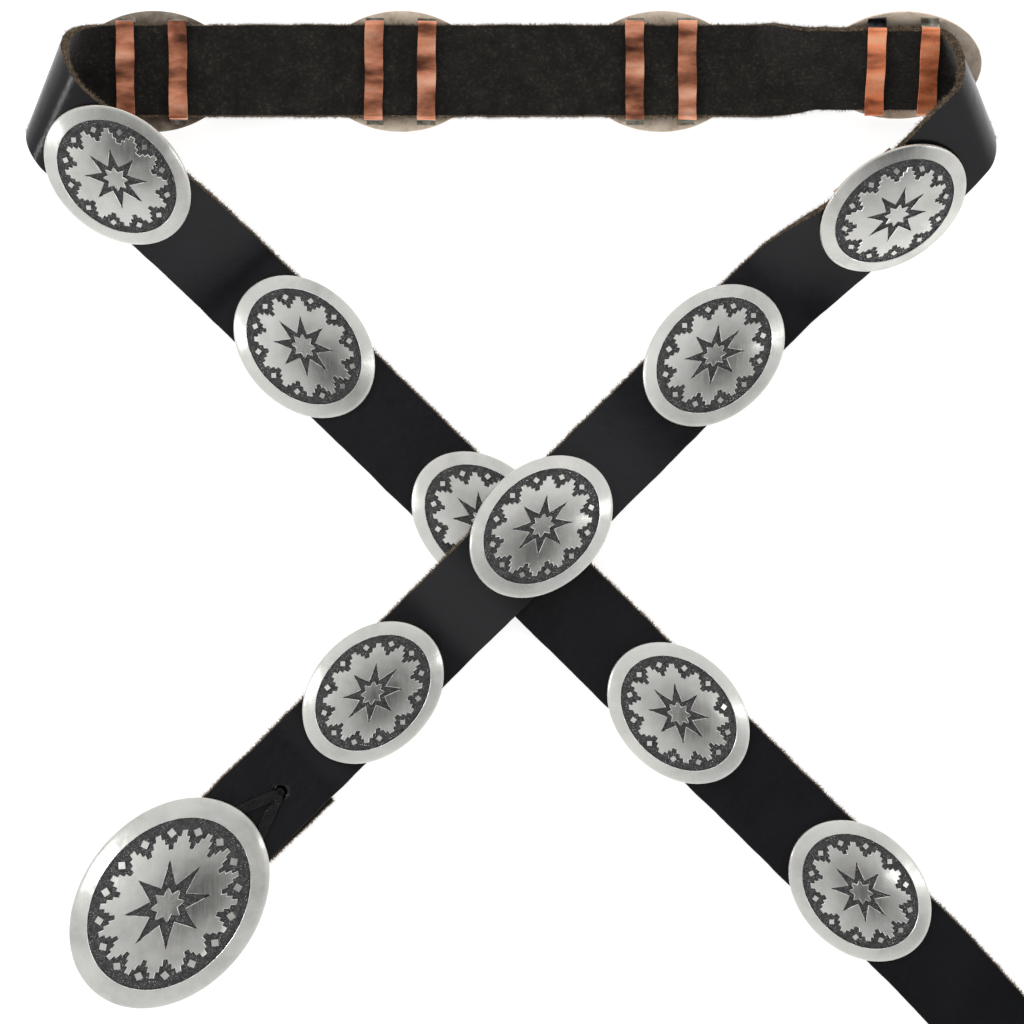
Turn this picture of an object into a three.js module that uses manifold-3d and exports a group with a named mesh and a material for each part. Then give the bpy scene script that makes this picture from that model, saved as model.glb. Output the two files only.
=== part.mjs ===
// Concho belt laid out as a crossed ribbon. Millimetres, +Z up, surface at Z = 0.
// The top run lies along X with its flesh side up. At each end the strap rolls over
// and comes back as an arm with its smooth side up. The two arms cross.
import * as THREE from 'three';
import { mergeVertices } from 'three/addons/utils/BufferGeometryUtils.js';
import Module from 'manifold-3d';

// Strap
const strapWidth = 31.75;
const strapThickness = 3;
const clearance = 0.3;

// Layout seen from above
const ribbonSpan = 340.6;
const lowerArmAngle = 44.4;
const upperArmAngle = 44.7;

// Conchos
const conchoLength = 56;
const conchoWidth = 42.2;
const conchoHeight = 6.2;
const conchoWall = 1.2;
const conchoEdge = 1;
const recessDepth = 0.5;

// Copper loops on the conchos' backs
const loopWidth = 6.4;
const loopSpacing = 18.3;
const loopThickness = 0.8;
const loopSlack = 1;
const loopSidePlay = 0.6;
const loopFoot = 1.8;
const solderDepth = 0.1;

// Buckle
const buckleLength = 81;
const buckleWidth = 60.8;
const buckleHeight = 8.6;
const buckleWall = 1.5;
const buckleYaw = 5.6;
const buckleShift = 2.2;
const barThickness = 2.4;
const barOffset = 10;
const hookWidth = 8;
const hookThickness = 1.8;
const hookLength = 14;
const hookOffset = 14;

// Turned back end of the strap and its lace
const turnbackLength = 55;
const turnbackShift = 1.2;
const riseLead = 8;
const laceHoleDiameter = 4.6;
const laceHoleOffset = 44.4;
const laceShift = 1.9;
const laceThickness = 1.2;
const laceWidth = 4;
const laceReach = 17;
const laceSpread = 20;

// Free end, bent a little to the south-west
const tipRounding = 9;
const tipShift = 3.6;

// Rolled folds: reach sideways, height of the roll's half, and the slope of the
// strap's plane where it enters and leaves the roll, its north side raised
const leftRoll = { side: -1, start: 0.864, reach: 10.5, rise: 14, slopeIn: 0, slopeOut: 20 };
const rightRoll = { side: 1, start: 0.889, reach: 6.4, rise: 12.5, slopeIn: 35.5, slopeOut: 36 };

// Facets: steps round a roll, round the buckle's bar and round the strap's tip, the
// pitch along a bend, and the sides of ovals and holes
const rollSteps = 12;
const wrapSteps = 8;
const tipSteps = 4;
const bendPitch = 6;
const ovalSides = 24;
const holeSides = 12;

const degrees = Math.PI / 180;
const halfSpan = ribbonSpan / 2;
const halfThickness = strapThickness / 2;

// Distances along the two arms from their top corners to the crossing
const crossingSine = Math.sin((lowerArmAngle + upperArmAngle) * degrees);
const lowerReach = ribbonSpan * Math.sin(upperArmAngle * degrees) / crossingSine;
const upperReach = ribbonSpan * Math.sin(lowerArmAngle * degrees) / crossingSine;

// Heights of the strap's middle surface
const floorLevel = loopThickness + clearance + halfThickness;
const conchoTop = loopThickness + clearance + strapThickness + clearance + loopSlack + conchoHeight;
const crossLevel = conchoTop + clearance + loopThickness + clearance + halfThickness;
const runLevel = conchoHeight + clearance + halfThickness;

// Conchos on the straight parts of the two arms and on the run.
// along is a share of the reach from an arm's top corner to the crossing, or on
// the run a share of its half span. yaw turns the concho, and climb slopes it up
// toward the buckle, in degrees. The strap slopes by crossClimb on both sides of
// the crossing.
const crossClimb = 6;
const lowerArmConchos = [
  { name: 'concho_10', along: 0.572, yaw: -1.5 },
  { name: 'concho_11', along: 0.936, yaw: 1 },
  { name: 'concho_12', along: 1.3335, yaw: 0 },
  { name: 'concho_13', along: 1.703, yaw: 0.5 },
];
const upperArmConchos = [
  { name: 'concho_03', along: 0.59, yaw: 0.5, level: floorLevel, climb: 0 },
  { name: 'concho_02', along: 0.947, yaw: -0.5, level: crossLevel, climb: crossClimb },
  { name: 'concho_01', along: 1.291, yaw: 1, level: floorLevel, climb: 0 },
];
const runConchos = [
  { name: 'concho_08', along: -0.735, yaw: -0.5 },
  { name: 'concho_07', along: -0.228, yaw: 0.5 },
  { name: 'concho_06', along: 0.304, yaw: 0 },
];
const tipAlong = 2.158;
const buckleAlong = 1.7175;

// Conchos beside the folds, tipped with the strap. x and y are shares of the half span,
// turn is the heading less the arm's angle, fall is the slope down the arm, and tilt
// raises the strap's north edge, all in degrees.
const lowerCorner = { name: 'concho_09', x: -0.794, y: -0.217, drop: 0.16, turn: -3, fall: 12, tilt: 15 };
const upperCorner = { name: 'concho_04', x: 0.769, y: -0.276, drop: 0.42, turn: -7, fall: 13, tilt: 31 };
const runCorner = { name: 'concho_05', x: 0.792, yaw: -0.5, tilt: rightRoll.slopeIn };

// A station holds the middle of the strap, its direction, its across direction
// toward the north edge, and the slant of its ruling in radians.
function station(centre, along, across, slant = 0) {
  return { centre, along, across, slant };
}

// Station from a heading, a climb and a tilt that raises the north edge, in degrees.
// On the arms the smooth side is up, on the run it is down.
function seat(centre, heading, climb, tilt, smoothUp) {
  const turn = heading * degrees;
  const lift = climb * degrees;
  const along = new THREE.Vector3(Math.cos(turn) * Math.cos(lift), Math.sin(turn) * Math.cos(lift), Math.sin(lift));
  const side = smoothUp ? 1 : -1;
  const level = new THREE.Vector3(Math.sin(turn) * side, -Math.cos(turn) * side, 0);
  const up = new THREE.Vector3().crossVectors(level, along).multiplyScalar(side);
  const across = level.multiplyScalar(Math.cos(tilt * degrees)).addScaledVector(up, Math.sin(tilt * degrees));
  return station(centre, along, across);
}

// The same station moved along its own direction.
function shifted(from, distance) {
  const centre = from.centre.clone().addScaledVector(from.along, distance);
  return station(centre, from.along.clone(), from.across.clone(), from.slant);
}

// Unit normal on the strap's smooth side.
function faceNormal(at) {
  return new THREE.Vector3().crossVectors(at.across, at.along).normalize();
}

// Stations on a smooth curve between two stations, the first one left out.
function bridge(from, to, steps) {
  const pull = from.centre.distanceTo(to.centre) / 3;
  const curve = new THREE.CubicBezierCurve3(
    from.centre,
    from.centre.clone().addScaledVector(from.along, pull),
    to.centre.clone().addScaledVector(to.along, -pull),
    to.centre,
  );
  const result = [];
  for (let step = 1; step <= steps; step += 1) {
    const share = step / steps;
    const eased = share * share * (3 - 2 * share);
    const along = curve.getTangent(share);
    const across = from.across.clone().lerp(to.across, eased);
    across.addScaledVector(along, -across.dot(along)).normalize();
    const slant = from.slant + (to.slant - from.slant) * share;
    result.push(station(curve.getPoint(share), along, across, slant));
  }
  return result;
}

// Stations round a rolled fold, from the run outward. The roll is an elliptic cylinder
// whose axis halves the angle between the run and the arm, so that the strap stays
// unstretched. The whole roll is sloped about X through its entry.
function rollStations(roll, entry) {
  const armAngle = roll.side < 0 ? lowerArmAngle : upperArmAngle;
  const axisAngle = (180 - armAngle) / 2 * degrees;
  const axis = new THREE.Vector3(roll.side * Math.cos(axisAngle), -Math.sin(axisAngle), 0);
  const outward = new THREE.Vector3(roll.side * Math.sin(axisAngle), Math.cos(axisAngle), 0);
  const up = new THREE.Vector3(0, 0, 1);
  const xAxis = new THREE.Vector3(1, 0, 0);
  const result = [];
  let arc = 0;
  let last = new THREE.Vector2(0, 0);
  for (let step = 0; step <= rollSteps; step += 1) {
    const share = step / rollSteps;
    const angle = share * Math.PI;
    const section = new THREE.Vector2(roll.reach * Math.sin(angle), roll.rise * (1 - Math.cos(angle)));
    arc += section.distanceTo(last);
    last = section;
    const offset = outward.clone().multiplyScalar(section.x).addScaledVector(up, section.y);
    offset.addScaledVector(axis, arc / Math.tan(axisAngle));
    const sectionSlope = new THREE.Vector2(roll.reach * Math.cos(angle), roll.rise * Math.sin(angle)).normalize();
    const around = outward.clone().multiplyScalar(sectionSlope.x).addScaledVector(up, sectionSlope.y);
    const along = axis.clone().multiplyScalar(Math.cos(axisAngle)).addScaledVector(around, Math.sin(axisAngle));
    const across = around.clone().multiplyScalar(Math.cos(axisAngle)).addScaledVector(axis, -Math.sin(axisAngle));
    const slope = (roll.slopeIn + (roll.slopeOut - roll.slopeIn) * share) * degrees;
    for (const direction of [offset, along, across]) {
      direction.applyAxisAngle(xAxis, slope);
    }
    along.multiplyScalar(roll.side);
    const slant = -roll.side * (Math.PI / 2 - axisAngle);
    result.push(station(entry.clone().add(offset), along, across, slant));
  }
  return result;
}

// Lowest depth of a concho under the strap's middle when it lies face down and tipped.
function restHeight(tilt) {
  const sine = Math.sin(tilt * degrees);
  const cosine = Math.cos(tilt * degrees);
  const rise = conchoHeight - conchoEdge;
  const share = Math.min(1, conchoWidth / 2 * sine / (2 * rise * cosine));
  const depth = halfThickness + clearance + conchoEdge + rise * (1 - share * share);
  return conchoWidth / 2 * share * sine + depth * cosine;
}

// Smooth side up stations on the two arms, at a distance from an arm's top corner.
const lowerHeading = 180 - lowerArmAngle;
const upperHeading = 180 + upperArmAngle;

function lowerArmStation(distance) {
  const x = distance * Math.cos(lowerArmAngle * degrees) - halfSpan;
  const centre = new THREE.Vector3(x, -distance * Math.sin(lowerArmAngle * degrees), floorLevel);
  return seat(centre, lowerHeading, 0, 0, true);
}

function upperArmStation(distance, height, climb = 0) {
  const x = halfSpan - distance * Math.cos(upperArmAngle * degrees);
  const centre = new THREE.Vector3(x, -distance * Math.sin(upperArmAngle * degrees), height);
  return seat(centre, upperHeading, climb, 0, true);
}

// Seats of all conchos, by name
const seats = new Map();
for (const row of lowerArmConchos) {
  seats.set(row.name, { ...lowerArmStation(row.along * lowerReach), yaw: row.yaw });
}
for (const row of upperArmConchos) {
  const height = row.level - loopSpacing / 2 * Math.sin(row.climb * degrees);
  seats.set(row.name, { ...upperArmStation(row.along * upperReach, height, row.climb), yaw: row.yaw });
}
for (const row of runConchos) {
  const centre = new THREE.Vector3(row.along * halfSpan, 0, runLevel);
  seats.set(row.name, { ...seat(centre, 0, 0, 0, false), yaw: row.yaw });
}

// The two rolls and the tipped seats beside them
const cornerHeight = restHeight(runCorner.tilt);
const leftStations = rollStations(leftRoll, new THREE.Vector3(-leftRoll.start * halfSpan, 0, runLevel));
const rightStations = rollStations(rightRoll, new THREE.Vector3(rightRoll.start * halfSpan, 0, cornerHeight));
const runCornerCentre = new THREE.Vector3(runCorner.x * halfSpan, 0, cornerHeight);
seats.set(runCorner.name, { ...seat(runCornerCentre, 0, 0, runCorner.tilt, false), yaw: runCorner.yaw });

function cornerSeat(row, heading, climb, rollExit) {
  const height = floorLevel + (rollExit.centre.z - floorLevel) * (1 - row.drop);
  const centre = new THREE.Vector3(row.x * halfSpan, row.y * halfSpan, height);
  seats.set(row.name, { ...seat(centre, heading, climb, row.tilt, true), yaw: 0 });
}
cornerSeat(lowerCorner, lowerHeading - lowerCorner.turn, lowerCorner.fall, leftStations.at(-1));
cornerSeat(upperCorner, upperHeading + upperCorner.turn, -upperCorner.fall, rightStations.at(-1));

// Half lengths of straight strap that a concho needs: under its loops, or under all of it
const seatMargin = 1;
const loopSeat = (loopSpacing + loopWidth) / 2 + seatMargin;
const fullSeat = conchoLength / 2 + seatMargin;

// Buckle place on its arm, its bar, and the doubled strap
const buckleDistance = buckleAlong * upperReach;
const barDistance = buckleDistance - barOffset;
const wrapRadius = barThickness * Math.SQRT1_2 + clearance + halfThickness;
const lowerLayer = halfThickness;
const upperLayer = halfThickness + strapThickness + clearance;
const barHeight = lowerLayer + wrapRadius;
const doubledStart = barDistance - turnbackLength;
const laceEnd = barDistance - laceHoleOffset + laceReach + laceWidth;

// Station at the lace hole, which lies beside the strap's middle line
function laceStation(height) {
  const at = upperArmStation(barDistance - laceHoleOffset, height);
  at.centre.addScaledVector(at.across, -laceShift);
  return at;
}

// Station at a distance from the strap's tip
function tipStation(distance) {
  const at = lowerArmStation(tipAlong * lowerReach - distance);
  at.centre.addScaledVector(at.across, -tipShift);
  return at;
}

// The strap from its tip to its turned back end. bend follows a curve in short steps,
// and straight goes on in one.
function strapPath() {
  const path = [tipStation(0)];
  const straight = (to) => path.push(...bridge(path.at(-1), to, 1));
  const bend = (to) => {
    const length = path.at(-1).centre.distanceTo(to.centre);
    path.push(...bridge(path.at(-1), to, Math.ceil(length / bendPitch) + 1));
  };
  const place = (name, offset) => shifted(seats.get(name), offset);
  for (let step = 1; step <= tipSteps; step += 1) {
    straight(tipStation(tipRounding * (step / tipSteps) ** 2));
  }
  bend(place('concho_13', -fullSeat));
  for (const row of [...lowerArmConchos].reverse()) {
    straight(place(row.name, fullSeat));
  }
  bend(place(lowerCorner.name, -loopSeat));
  bend(place(lowerCorner.name, loopSeat));
  const leftOutward = [...leftStations].reverse();
  bend(leftOutward[0]);
  path.push(...leftOutward.slice(1));
  bend(place('concho_08', -loopSeat));
  for (const row of runConchos) {
    straight(place(row.name, fullSeat));
  }
  bend(place(runCorner.name, -fullSeat));
  straight(place(runCorner.name, 0));
  bend(rightStations[0]);
  path.push(...rightStations.slice(1));
  bend(place(upperCorner.name, -loopSeat));
  bend(place(upperCorner.name, loopSeat));
  bend(place('concho_03', -fullSeat));
  straight(place('concho_03', fullSeat));
  bend(place('concho_02', -loopSeat));
  straight(place('concho_02', loopSeat));
  bend(upperArmStation(upperReach + conchoWidth / 4, crossLevel, -crossClimb));
  bend(place('concho_01', -fullSeat));
  straight(place('concho_01', fullSeat - riseLead));
  bend(upperArmStation(doubledStart - clearance, upperLayer));
  straight(upperArmStation(laceEnd, upperLayer));
  bend(upperArmStation(barDistance, barHeight + wrapRadius));
  const wrapMiddle = upperArmStation(barDistance, barHeight);
  const down = new THREE.Vector3(0, 0, -1);
  for (let step = 1; step <= wrapSteps; step += 1) {
    const angle = step / wrapSteps * Math.PI;
    const centre = wrapMiddle.centre.clone().addScaledVector(wrapMiddle.along, wrapRadius * Math.sin(angle));
    centre.addScaledVector(down, -wrapRadius * Math.cos(angle));
    const along = wrapMiddle.along.clone().multiplyScalar(Math.cos(angle));
    along.addScaledVector(down, Math.sin(angle));
    path.push(station(centre, along, wrapMiddle.across));
  }
  const end = shifted(path.at(-1), turnbackLength);
  end.centre.addScaledVector(end.across, -turnbackShift);
  bend(end);
  return path;
}

// Half width at a distance from the rounded tip
function tipHalfWidth(distance) {
  if (distance >= tipRounding) {
    return strapWidth / 2;
  }
  const share = 1 - distance / tipRounding;
  return strapWidth / 2 - tipRounding * (1 - Math.sqrt(Math.max(0, 1 - share * share)));
}

// Closed strip through stations: four corners at each station, quads between.
function stripGeometry(path) {
  const positions = [];
  const tip = path[0].centre;
  for (const at of path) {
    const face = faceNormal(at);
    const half = tipHalfWidth(at.centre.distanceTo(tip));
    const ruling = at.across.clone().addScaledVector(at.along, Math.tan(at.slant)).multiplyScalar(half);
    for (const [side, lift] of [[1, 1], [-1, 1], [-1, -1], [1, -1]]) {
      const point = at.centre.clone().addScaledVector(ruling, side).addScaledVector(face, lift * halfThickness);
      positions.push(point.x, point.y, point.z);
    }
  }
  const indices = [0, 1, 2, 0, 2, 3];
  for (let row = 0; row < path.length - 1; row += 1) {
    for (let corner = 0; corner < 4; corner += 1) {
      const a = row * 4 + corner;
      const b = row * 4 + (corner + 1) % 4;
      indices.push(a, a + 4, b, b, a + 4, b + 4);
    }
  }
  const end = (path.length - 1) * 4;
  indices.push(end, end + 2, end + 1, end, end + 3, end + 2);
  const geometry = new THREE.BufferGeometry();
  geometry.setAttribute('position', new THREE.Float32BufferAttribute(positions, 3));
  geometry.setIndex(indices);
  return geometry;
}

// Solids are joined and cut here.
const wasm = await Module();
wasm.setup();

function toSolid(geometry) {
  const bare = geometry.clone();
  bare.deleteAttribute('normal');
  bare.deleteAttribute('uv');
  const merged = mergeVertices(bare, 1e-4);
  const vertProperties = new Float32Array(merged.attributes.position.array);
  const triVerts = new Uint32Array(merged.index.array);
  return new wasm.Manifold(new wasm.Mesh({ numProp: 3, vertProperties, triVerts }));
}

function toGeometry(solid) {
  const mesh = solid.getMesh();
  const geometry = new THREE.BufferGeometry();
  geometry.setAttribute('position', new THREE.BufferAttribute(new Float32Array(mesh.vertProperties), 3));
  geometry.setIndex(new THREE.BufferAttribute(new Uint32Array(mesh.triVerts), 1));
  geometry.computeVertexNormals();
  return geometry;
}

// Domed oval plate. Its rim's underside is at z = 0. u and v are shares of its halves,
// and undersideAt takes a place on the finished piece, where the plate is turned and
// moved sideways.
function plateShape(length, width, height, wall, yaw = 0, shift = 0) {
  const top = (u, v) => conchoEdge + (height - conchoEdge) * (1 - u * u - v * v);
  const under = (u, v) => (height - wall) * (1 - u * u - v * v);
  const undersideAt = (x, y) => {
    const place = new THREE.Vector2(x, y - shift).rotateAround(new THREE.Vector2(), -yaw * degrees);
    return under(place.x / (length / 2), place.y / (width / 2));
  };
  return { halfLength: length / 2, halfWidth: width / 2, top, under, undersideAt };
}

// Points of a ring whose radius alternates between two shares of the oval
function ring(shape, count, outer, inner, surface, sink = 0) {
  const points = [];
  for (let index = 0; index < count; index += 1) {
    const angle = index / count * Math.PI * 2;
    const share = index % 2 === 0 ? outer : inner;
    const u = share * Math.cos(angle);
    const v = share * Math.sin(angle);
    points.push(new THREE.Vector3(u * shape.halfLength, v * shape.halfWidth, surface(u, v) - sink));
  }
  return points;
}

// Triangles between an outer and an inner ring, which may have different counts
function zip(triangles, outer, inner) {
  let i = 0;
  let j = 0;
  while (i < outer.length || j < inner.length) {
    const outerNext = (i + 0.5) / outer.length;
    const innerNext = (j + 0.5) / inner.length;
    const a = outer[i % outer.length];
    const b = inner[j % inner.length];
    if (j >= inner.length || (i < outer.length && outerNext <= innerNext)) {
      triangles.push(a, outer[(i + 1) % outer.length], b);
      i += 1;
    } else {
      triangles.push(a, inner[(j + 1) % inner.length], b);
      j += 1;
    }
  }
}

function fan(triangles, points, centre) {
  points.forEach((point, index) => triangles.push(point, points[(index + 1) % points.length], centre));
}

// The plate with its sunk ornament: a band with a sawtooth inner edge, and a star
// round a raised middle. The radii are shares of the oval.
const bandOuter = 0.8;
const bandTooth = 0.58;
const bandValley = 0.7;
const starPoints = 8;
const starTip = 0.42;
const starValley = 0.2;
const starMiddle = 0.12;
const underRadius = 0.6;

function plateGeometry(shape) {
  const triangles = [];
  const rimTop = ring(shape, ovalSides, 1, 1, shape.top);
  const rimUnder = ring(shape, ovalSides, 1, 1, shape.under);
  const bandRing = (sink) => ring(shape, ovalSides, bandOuter, bandOuter, shape.top, sink);
  const toothRing = (sink) => ring(shape, ovalSides, bandTooth, bandValley, shape.top, sink);
  const starRing = (sink) => ring(shape, 2 * starPoints, starTip, starValley, shape.top, sink);
  const middleRing = (sink) => ring(shape, starPoints, starMiddle, starMiddle, shape.top, sink);
  const down = recessDepth;
  zip(triangles, rimTop, bandRing(0));
  zip(triangles, bandRing(0), bandRing(down));
  zip(triangles, bandRing(down), toothRing(down));
  zip(triangles, toothRing(down), toothRing(0));
  zip(triangles, toothRing(0), starRing(0));
  zip(triangles, starRing(0), starRing(down));
  zip(triangles, starRing(down), middleRing(down));
  zip(triangles, middleRing(down), middleRing(0));
  fan(triangles, middleRing(0), new THREE.Vector3(0, 0, shape.top(0, 0)));
  zip(triangles, rimUnder, rimTop);
  const underRing = ring(shape, ovalSides / 2, underRadius, underRadius, shape.under);
  const underside = [];
  zip(underside, rimUnder, underRing);
  fan(underside, underRing, new THREE.Vector3(0, 0, shape.under(0, 0)));
  for (let index = 0; index < underside.length; index += 3) {
    triangles.push(underside[index], underside[index + 2], underside[index + 1]);
  }
  const geometry = new THREE.BufferGeometry().setFromPoints(triangles);
  return mergeVertices(geometry, 1e-4);
}

// A band across the strap's back, bent up at both sides to feet against the plate's
// underside. x is its middle along the plate, drop is the depth of its inner face below
// the plate's rim.
function bandLoop(shape, x, width, thickness, drop, foot) {
  const inner = strapWidth / 2 + loopSidePlay;
  const outer = inner + thickness;
  const nearX = x - Math.sign(x) * width / 2;
  const bend = thickness / 2;
  const halfOutline = (side) => {
    const seatAt = (y) => shape.undersideAt(nearX, side * y) + solderDepth;
    return [
      [outer - bend, -drop - thickness],
      [outer, -drop - thickness + bend],
      [outer, seatAt(outer) - thickness],
      [outer + foot, seatAt(outer + foot) - thickness],
      [outer + foot, seatAt(outer + foot)],
      [inner, seatAt(inner)],
      [inner, -drop],
    ].map(([y, z]) => new THREE.Vector2(side * y, z));
  };
  const outline = new THREE.Shape([...halfOutline(1), ...halfOutline(-1).reverse()]);
  const geometry = new THREE.ExtrudeGeometry(outline, { depth: width, bevelEnabled: false });
  const place = new THREE.Matrix4().makeBasis(
    new THREE.Vector3(0, 1, 0),
    new THREE.Vector3(0, 0, 1),
    new THREE.Vector3(1, 0, 0),
  );
  place.setPosition(x - width / 2, 0, 0);
  return geometry.applyMatrix4(place);
}

// One concho: plate and two copper loops, soldered together
function conchoGeometry() {
  const shape = plateShape(conchoLength, conchoWidth, conchoHeight, conchoWall);
  const drop = strapThickness + 2 * clearance + loopSlack;
  let solid = toSolid(plateGeometry(shape));
  for (const side of [-1, 1]) {
    const loop = bandLoop(shape, side * loopSpacing / 2, loopWidth, loopThickness, drop, loopFoot);
    solid = solid.add(toSolid(loop));
  }
  return toGeometry(solid);
}

// Buckle plate, with the rim's underside clear of the lace
const buckleRim = upperLayer + halfThickness + clearance + laceThickness + clearance;

function buckleGeometry() {
  const shape = plateShape(buckleLength, buckleWidth, buckleHeight, buckleWall, buckleYaw, buckleShift);
  const plate = plateGeometry(shape).rotateZ(buckleYaw * degrees).translate(0, buckleShift, 0);
  const drop = buckleRim - barHeight - barThickness / 2;
  const bar = bandLoop(shape, -barOffset, barThickness, barThickness, drop, 0);
  const hookTop = shape.undersideAt(hookOffset, 0) + buckleWall / 2;
  const hookBottom = -buckleRim;
  const profile = [
    [hookOffset, hookTop],
    [hookOffset, hookBottom + hookThickness / 2],
    [hookOffset + hookThickness / 2, hookBottom],
    [hookOffset + hookLength, hookBottom],
    [hookOffset + hookLength, hookBottom + hookThickness],
    [hookOffset + hookThickness * 1.5, hookBottom + hookThickness],
    [hookOffset + hookThickness, hookBottom + hookThickness * 1.5],
    [hookOffset + hookThickness, hookTop],
  ];
  const outline = new THREE.Shape(profile.map(([x, z]) => new THREE.Vector2(x, z)));
  const hook = new THREE.ExtrudeGeometry(outline, { depth: hookWidth, bevelEnabled: false });
  hook.translate(0, 0, -hookWidth / 2).rotateX(Math.PI / 2);
  return toGeometry(toSolid(plate).add(toSolid(bar)).add(toSolid(hook)));
}

// Lace: a peg in the strap's hole and two flat strands that run under the buckle
function laceGeometry() {
  const outline = new THREE.Shape();
  const half = laceWidth / 2;
  const spread = laceSpread * degrees;
  outline.absarc(0, 0, half, Math.PI / 2 + spread, Math.PI * 1.5 - spread, false);
  for (const side of [-1, 1]) {
    const direction = new THREE.Vector2(Math.cos(spread), side * Math.sin(spread));
    const normal = new THREE.Vector2(-direction.y, direction.x).multiplyScalar(half);
    const end = direction.clone().multiplyScalar(laceReach);
    const first = end.clone().sub(normal);
    const second = end.clone().add(normal);
    outline.lineTo(first.x, first.y);
    outline.lineTo(second.x, second.y);
    if (side < 0) {
      outline.lineTo(half / Math.sin(spread), 0);
    }
  }
  const strands = new THREE.ExtrudeGeometry(outline, {
    depth: laceThickness,
    bevelEnabled: false,
    curveSegments: holeSides / 2,
  });
  strands.translate(0, 0, clearance);
  const pegTop = clearance + laceThickness / 2;
  const pegBottom = clearance - upperLayer - halfThickness;
  const pegLength = pegTop - pegBottom;
  const pegRadius = laceHoleDiameter / 2 - clearance;
  const peg = new THREE.CylinderGeometry(pegRadius, pegRadius, pegLength, holeSides);
  peg.rotateX(Math.PI / 2).translate(0, 0, (pegTop + pegBottom) / 2);
  return toGeometry(toSolid(strands).add(toSolid(peg)));
}

// Materials
const leather = () => new THREE.MeshStandardMaterial({ color: 0x15151a, roughness: 0.45, metalness: 0 });
const silver = () => new THREE.MeshStandardMaterial({ color: 0xc9c9c6, roughness: 0.35, metalness: 1 });

function placedMesh(name, geometry, material, at, lift) {
  const mesh = new THREE.Mesh(geometry, material);
  mesh.name = name;
  const face = faceNormal(at);
  const side = new THREE.Vector3().crossVectors(face, at.along);
  mesh.quaternion.setFromRotationMatrix(new THREE.Matrix4().makeBasis(at.along, side, face));
  mesh.position.copy(at.centre).addScaledVector(face, lift);
  mesh.rotateZ((at.yaw ?? 0) * degrees);
  return mesh;
}

const group = new THREE.Group();

// Strap with its lace hole
const holeCentre = laceStation(0).centre;
const hole = new THREE.CylinderGeometry(laceHoleDiameter / 2, laceHoleDiameter / 2, upperLayer * 4, holeSides);
hole.rotateX(Math.PI / 2).translate(holeCentre.x, holeCentre.y, 0);
const strapSolid = toSolid(stripGeometry(strapPath())).subtract(toSolid(hole));
const strap = new THREE.Mesh(toGeometry(strapSolid), leather());
strap.name = 'strap';
group.add(strap);

// Conchos. On the arms they sit up by the slack of their loops.
const concho = conchoGeometry();
for (const [name, at] of [...seats].sort()) {
  const faceUp = faceNormal(at).z > 0;
  const lift = halfThickness + clearance + (faceUp ? loopSlack : 0);
  group.add(placedMesh(name, concho, silver(), at, lift));
}

// Buckle and lace
const buckleSeat = upperArmStation(buckleDistance, buckleRim);
group.add(placedMesh('buckle', buckleGeometry(), silver(), buckleSeat, 0));
group.add(placedMesh('lace', laceGeometry(), leather(), laceStation(upperLayer + halfThickness), 0));

// The origin is under the middle of the whole layout.
const bounds = new THREE.Box3().setFromObject(group, true);
const middle = bounds.getCenter(new THREE.Vector3());
group.position.set(-middle.x, -middle.y, 0);

export default group;
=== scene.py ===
# %% [markdown]
# # A concho belt, laid out as a crossed ribbon
#
# The belt is a black leather strap with oval silver conchos on it. Each concho has two
# copper loops on its back, and the strap runs through them. A larger oval buckle closes
# the belt. The belt lies on a white surface: a top run with its suede side up, a rolled
# fold at each end, and two arms that cross.
#
# The CAD frame is loaded first. It gives the pieces and their boxes. The sizes below are
# the ones that the CAD uses, so each piece that is made here lands on its CAD solid.

import math

import bmesh
import bpy
import numpy as np
from mathutils import Matrix, Vector


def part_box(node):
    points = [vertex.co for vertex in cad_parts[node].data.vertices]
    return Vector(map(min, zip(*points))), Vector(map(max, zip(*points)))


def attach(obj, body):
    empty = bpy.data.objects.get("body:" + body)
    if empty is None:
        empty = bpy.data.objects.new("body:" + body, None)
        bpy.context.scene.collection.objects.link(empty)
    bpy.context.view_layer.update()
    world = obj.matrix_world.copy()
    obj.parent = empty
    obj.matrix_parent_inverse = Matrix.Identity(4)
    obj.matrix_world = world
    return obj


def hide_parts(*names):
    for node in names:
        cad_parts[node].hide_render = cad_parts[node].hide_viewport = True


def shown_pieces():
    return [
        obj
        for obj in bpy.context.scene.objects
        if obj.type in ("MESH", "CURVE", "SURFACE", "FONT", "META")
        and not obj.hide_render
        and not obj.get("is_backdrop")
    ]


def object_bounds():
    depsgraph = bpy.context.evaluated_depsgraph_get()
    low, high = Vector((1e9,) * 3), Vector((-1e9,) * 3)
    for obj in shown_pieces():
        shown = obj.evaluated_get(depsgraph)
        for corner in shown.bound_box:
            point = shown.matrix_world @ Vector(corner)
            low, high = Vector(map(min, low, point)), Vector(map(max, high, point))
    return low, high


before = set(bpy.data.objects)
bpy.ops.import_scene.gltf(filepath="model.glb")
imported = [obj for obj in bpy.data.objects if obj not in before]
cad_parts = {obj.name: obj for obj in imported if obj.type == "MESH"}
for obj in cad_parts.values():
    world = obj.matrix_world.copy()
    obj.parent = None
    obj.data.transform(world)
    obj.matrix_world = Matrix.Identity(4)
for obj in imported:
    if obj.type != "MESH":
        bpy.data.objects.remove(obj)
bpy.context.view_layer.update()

# %% [markdown]
# ## The strap's path
#
# A strap of leather bends easily but hardly stretches. It can be described as a row of
# stations: a middle point, a direction along the strap, a direction across it, and the
# slant of the straight line that lies in its surface there. A cloth simulation could
# find the same shape, but the photographed layout is known, so the stations are worked
# out directly in millimetres and stay the same on every run.

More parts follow.
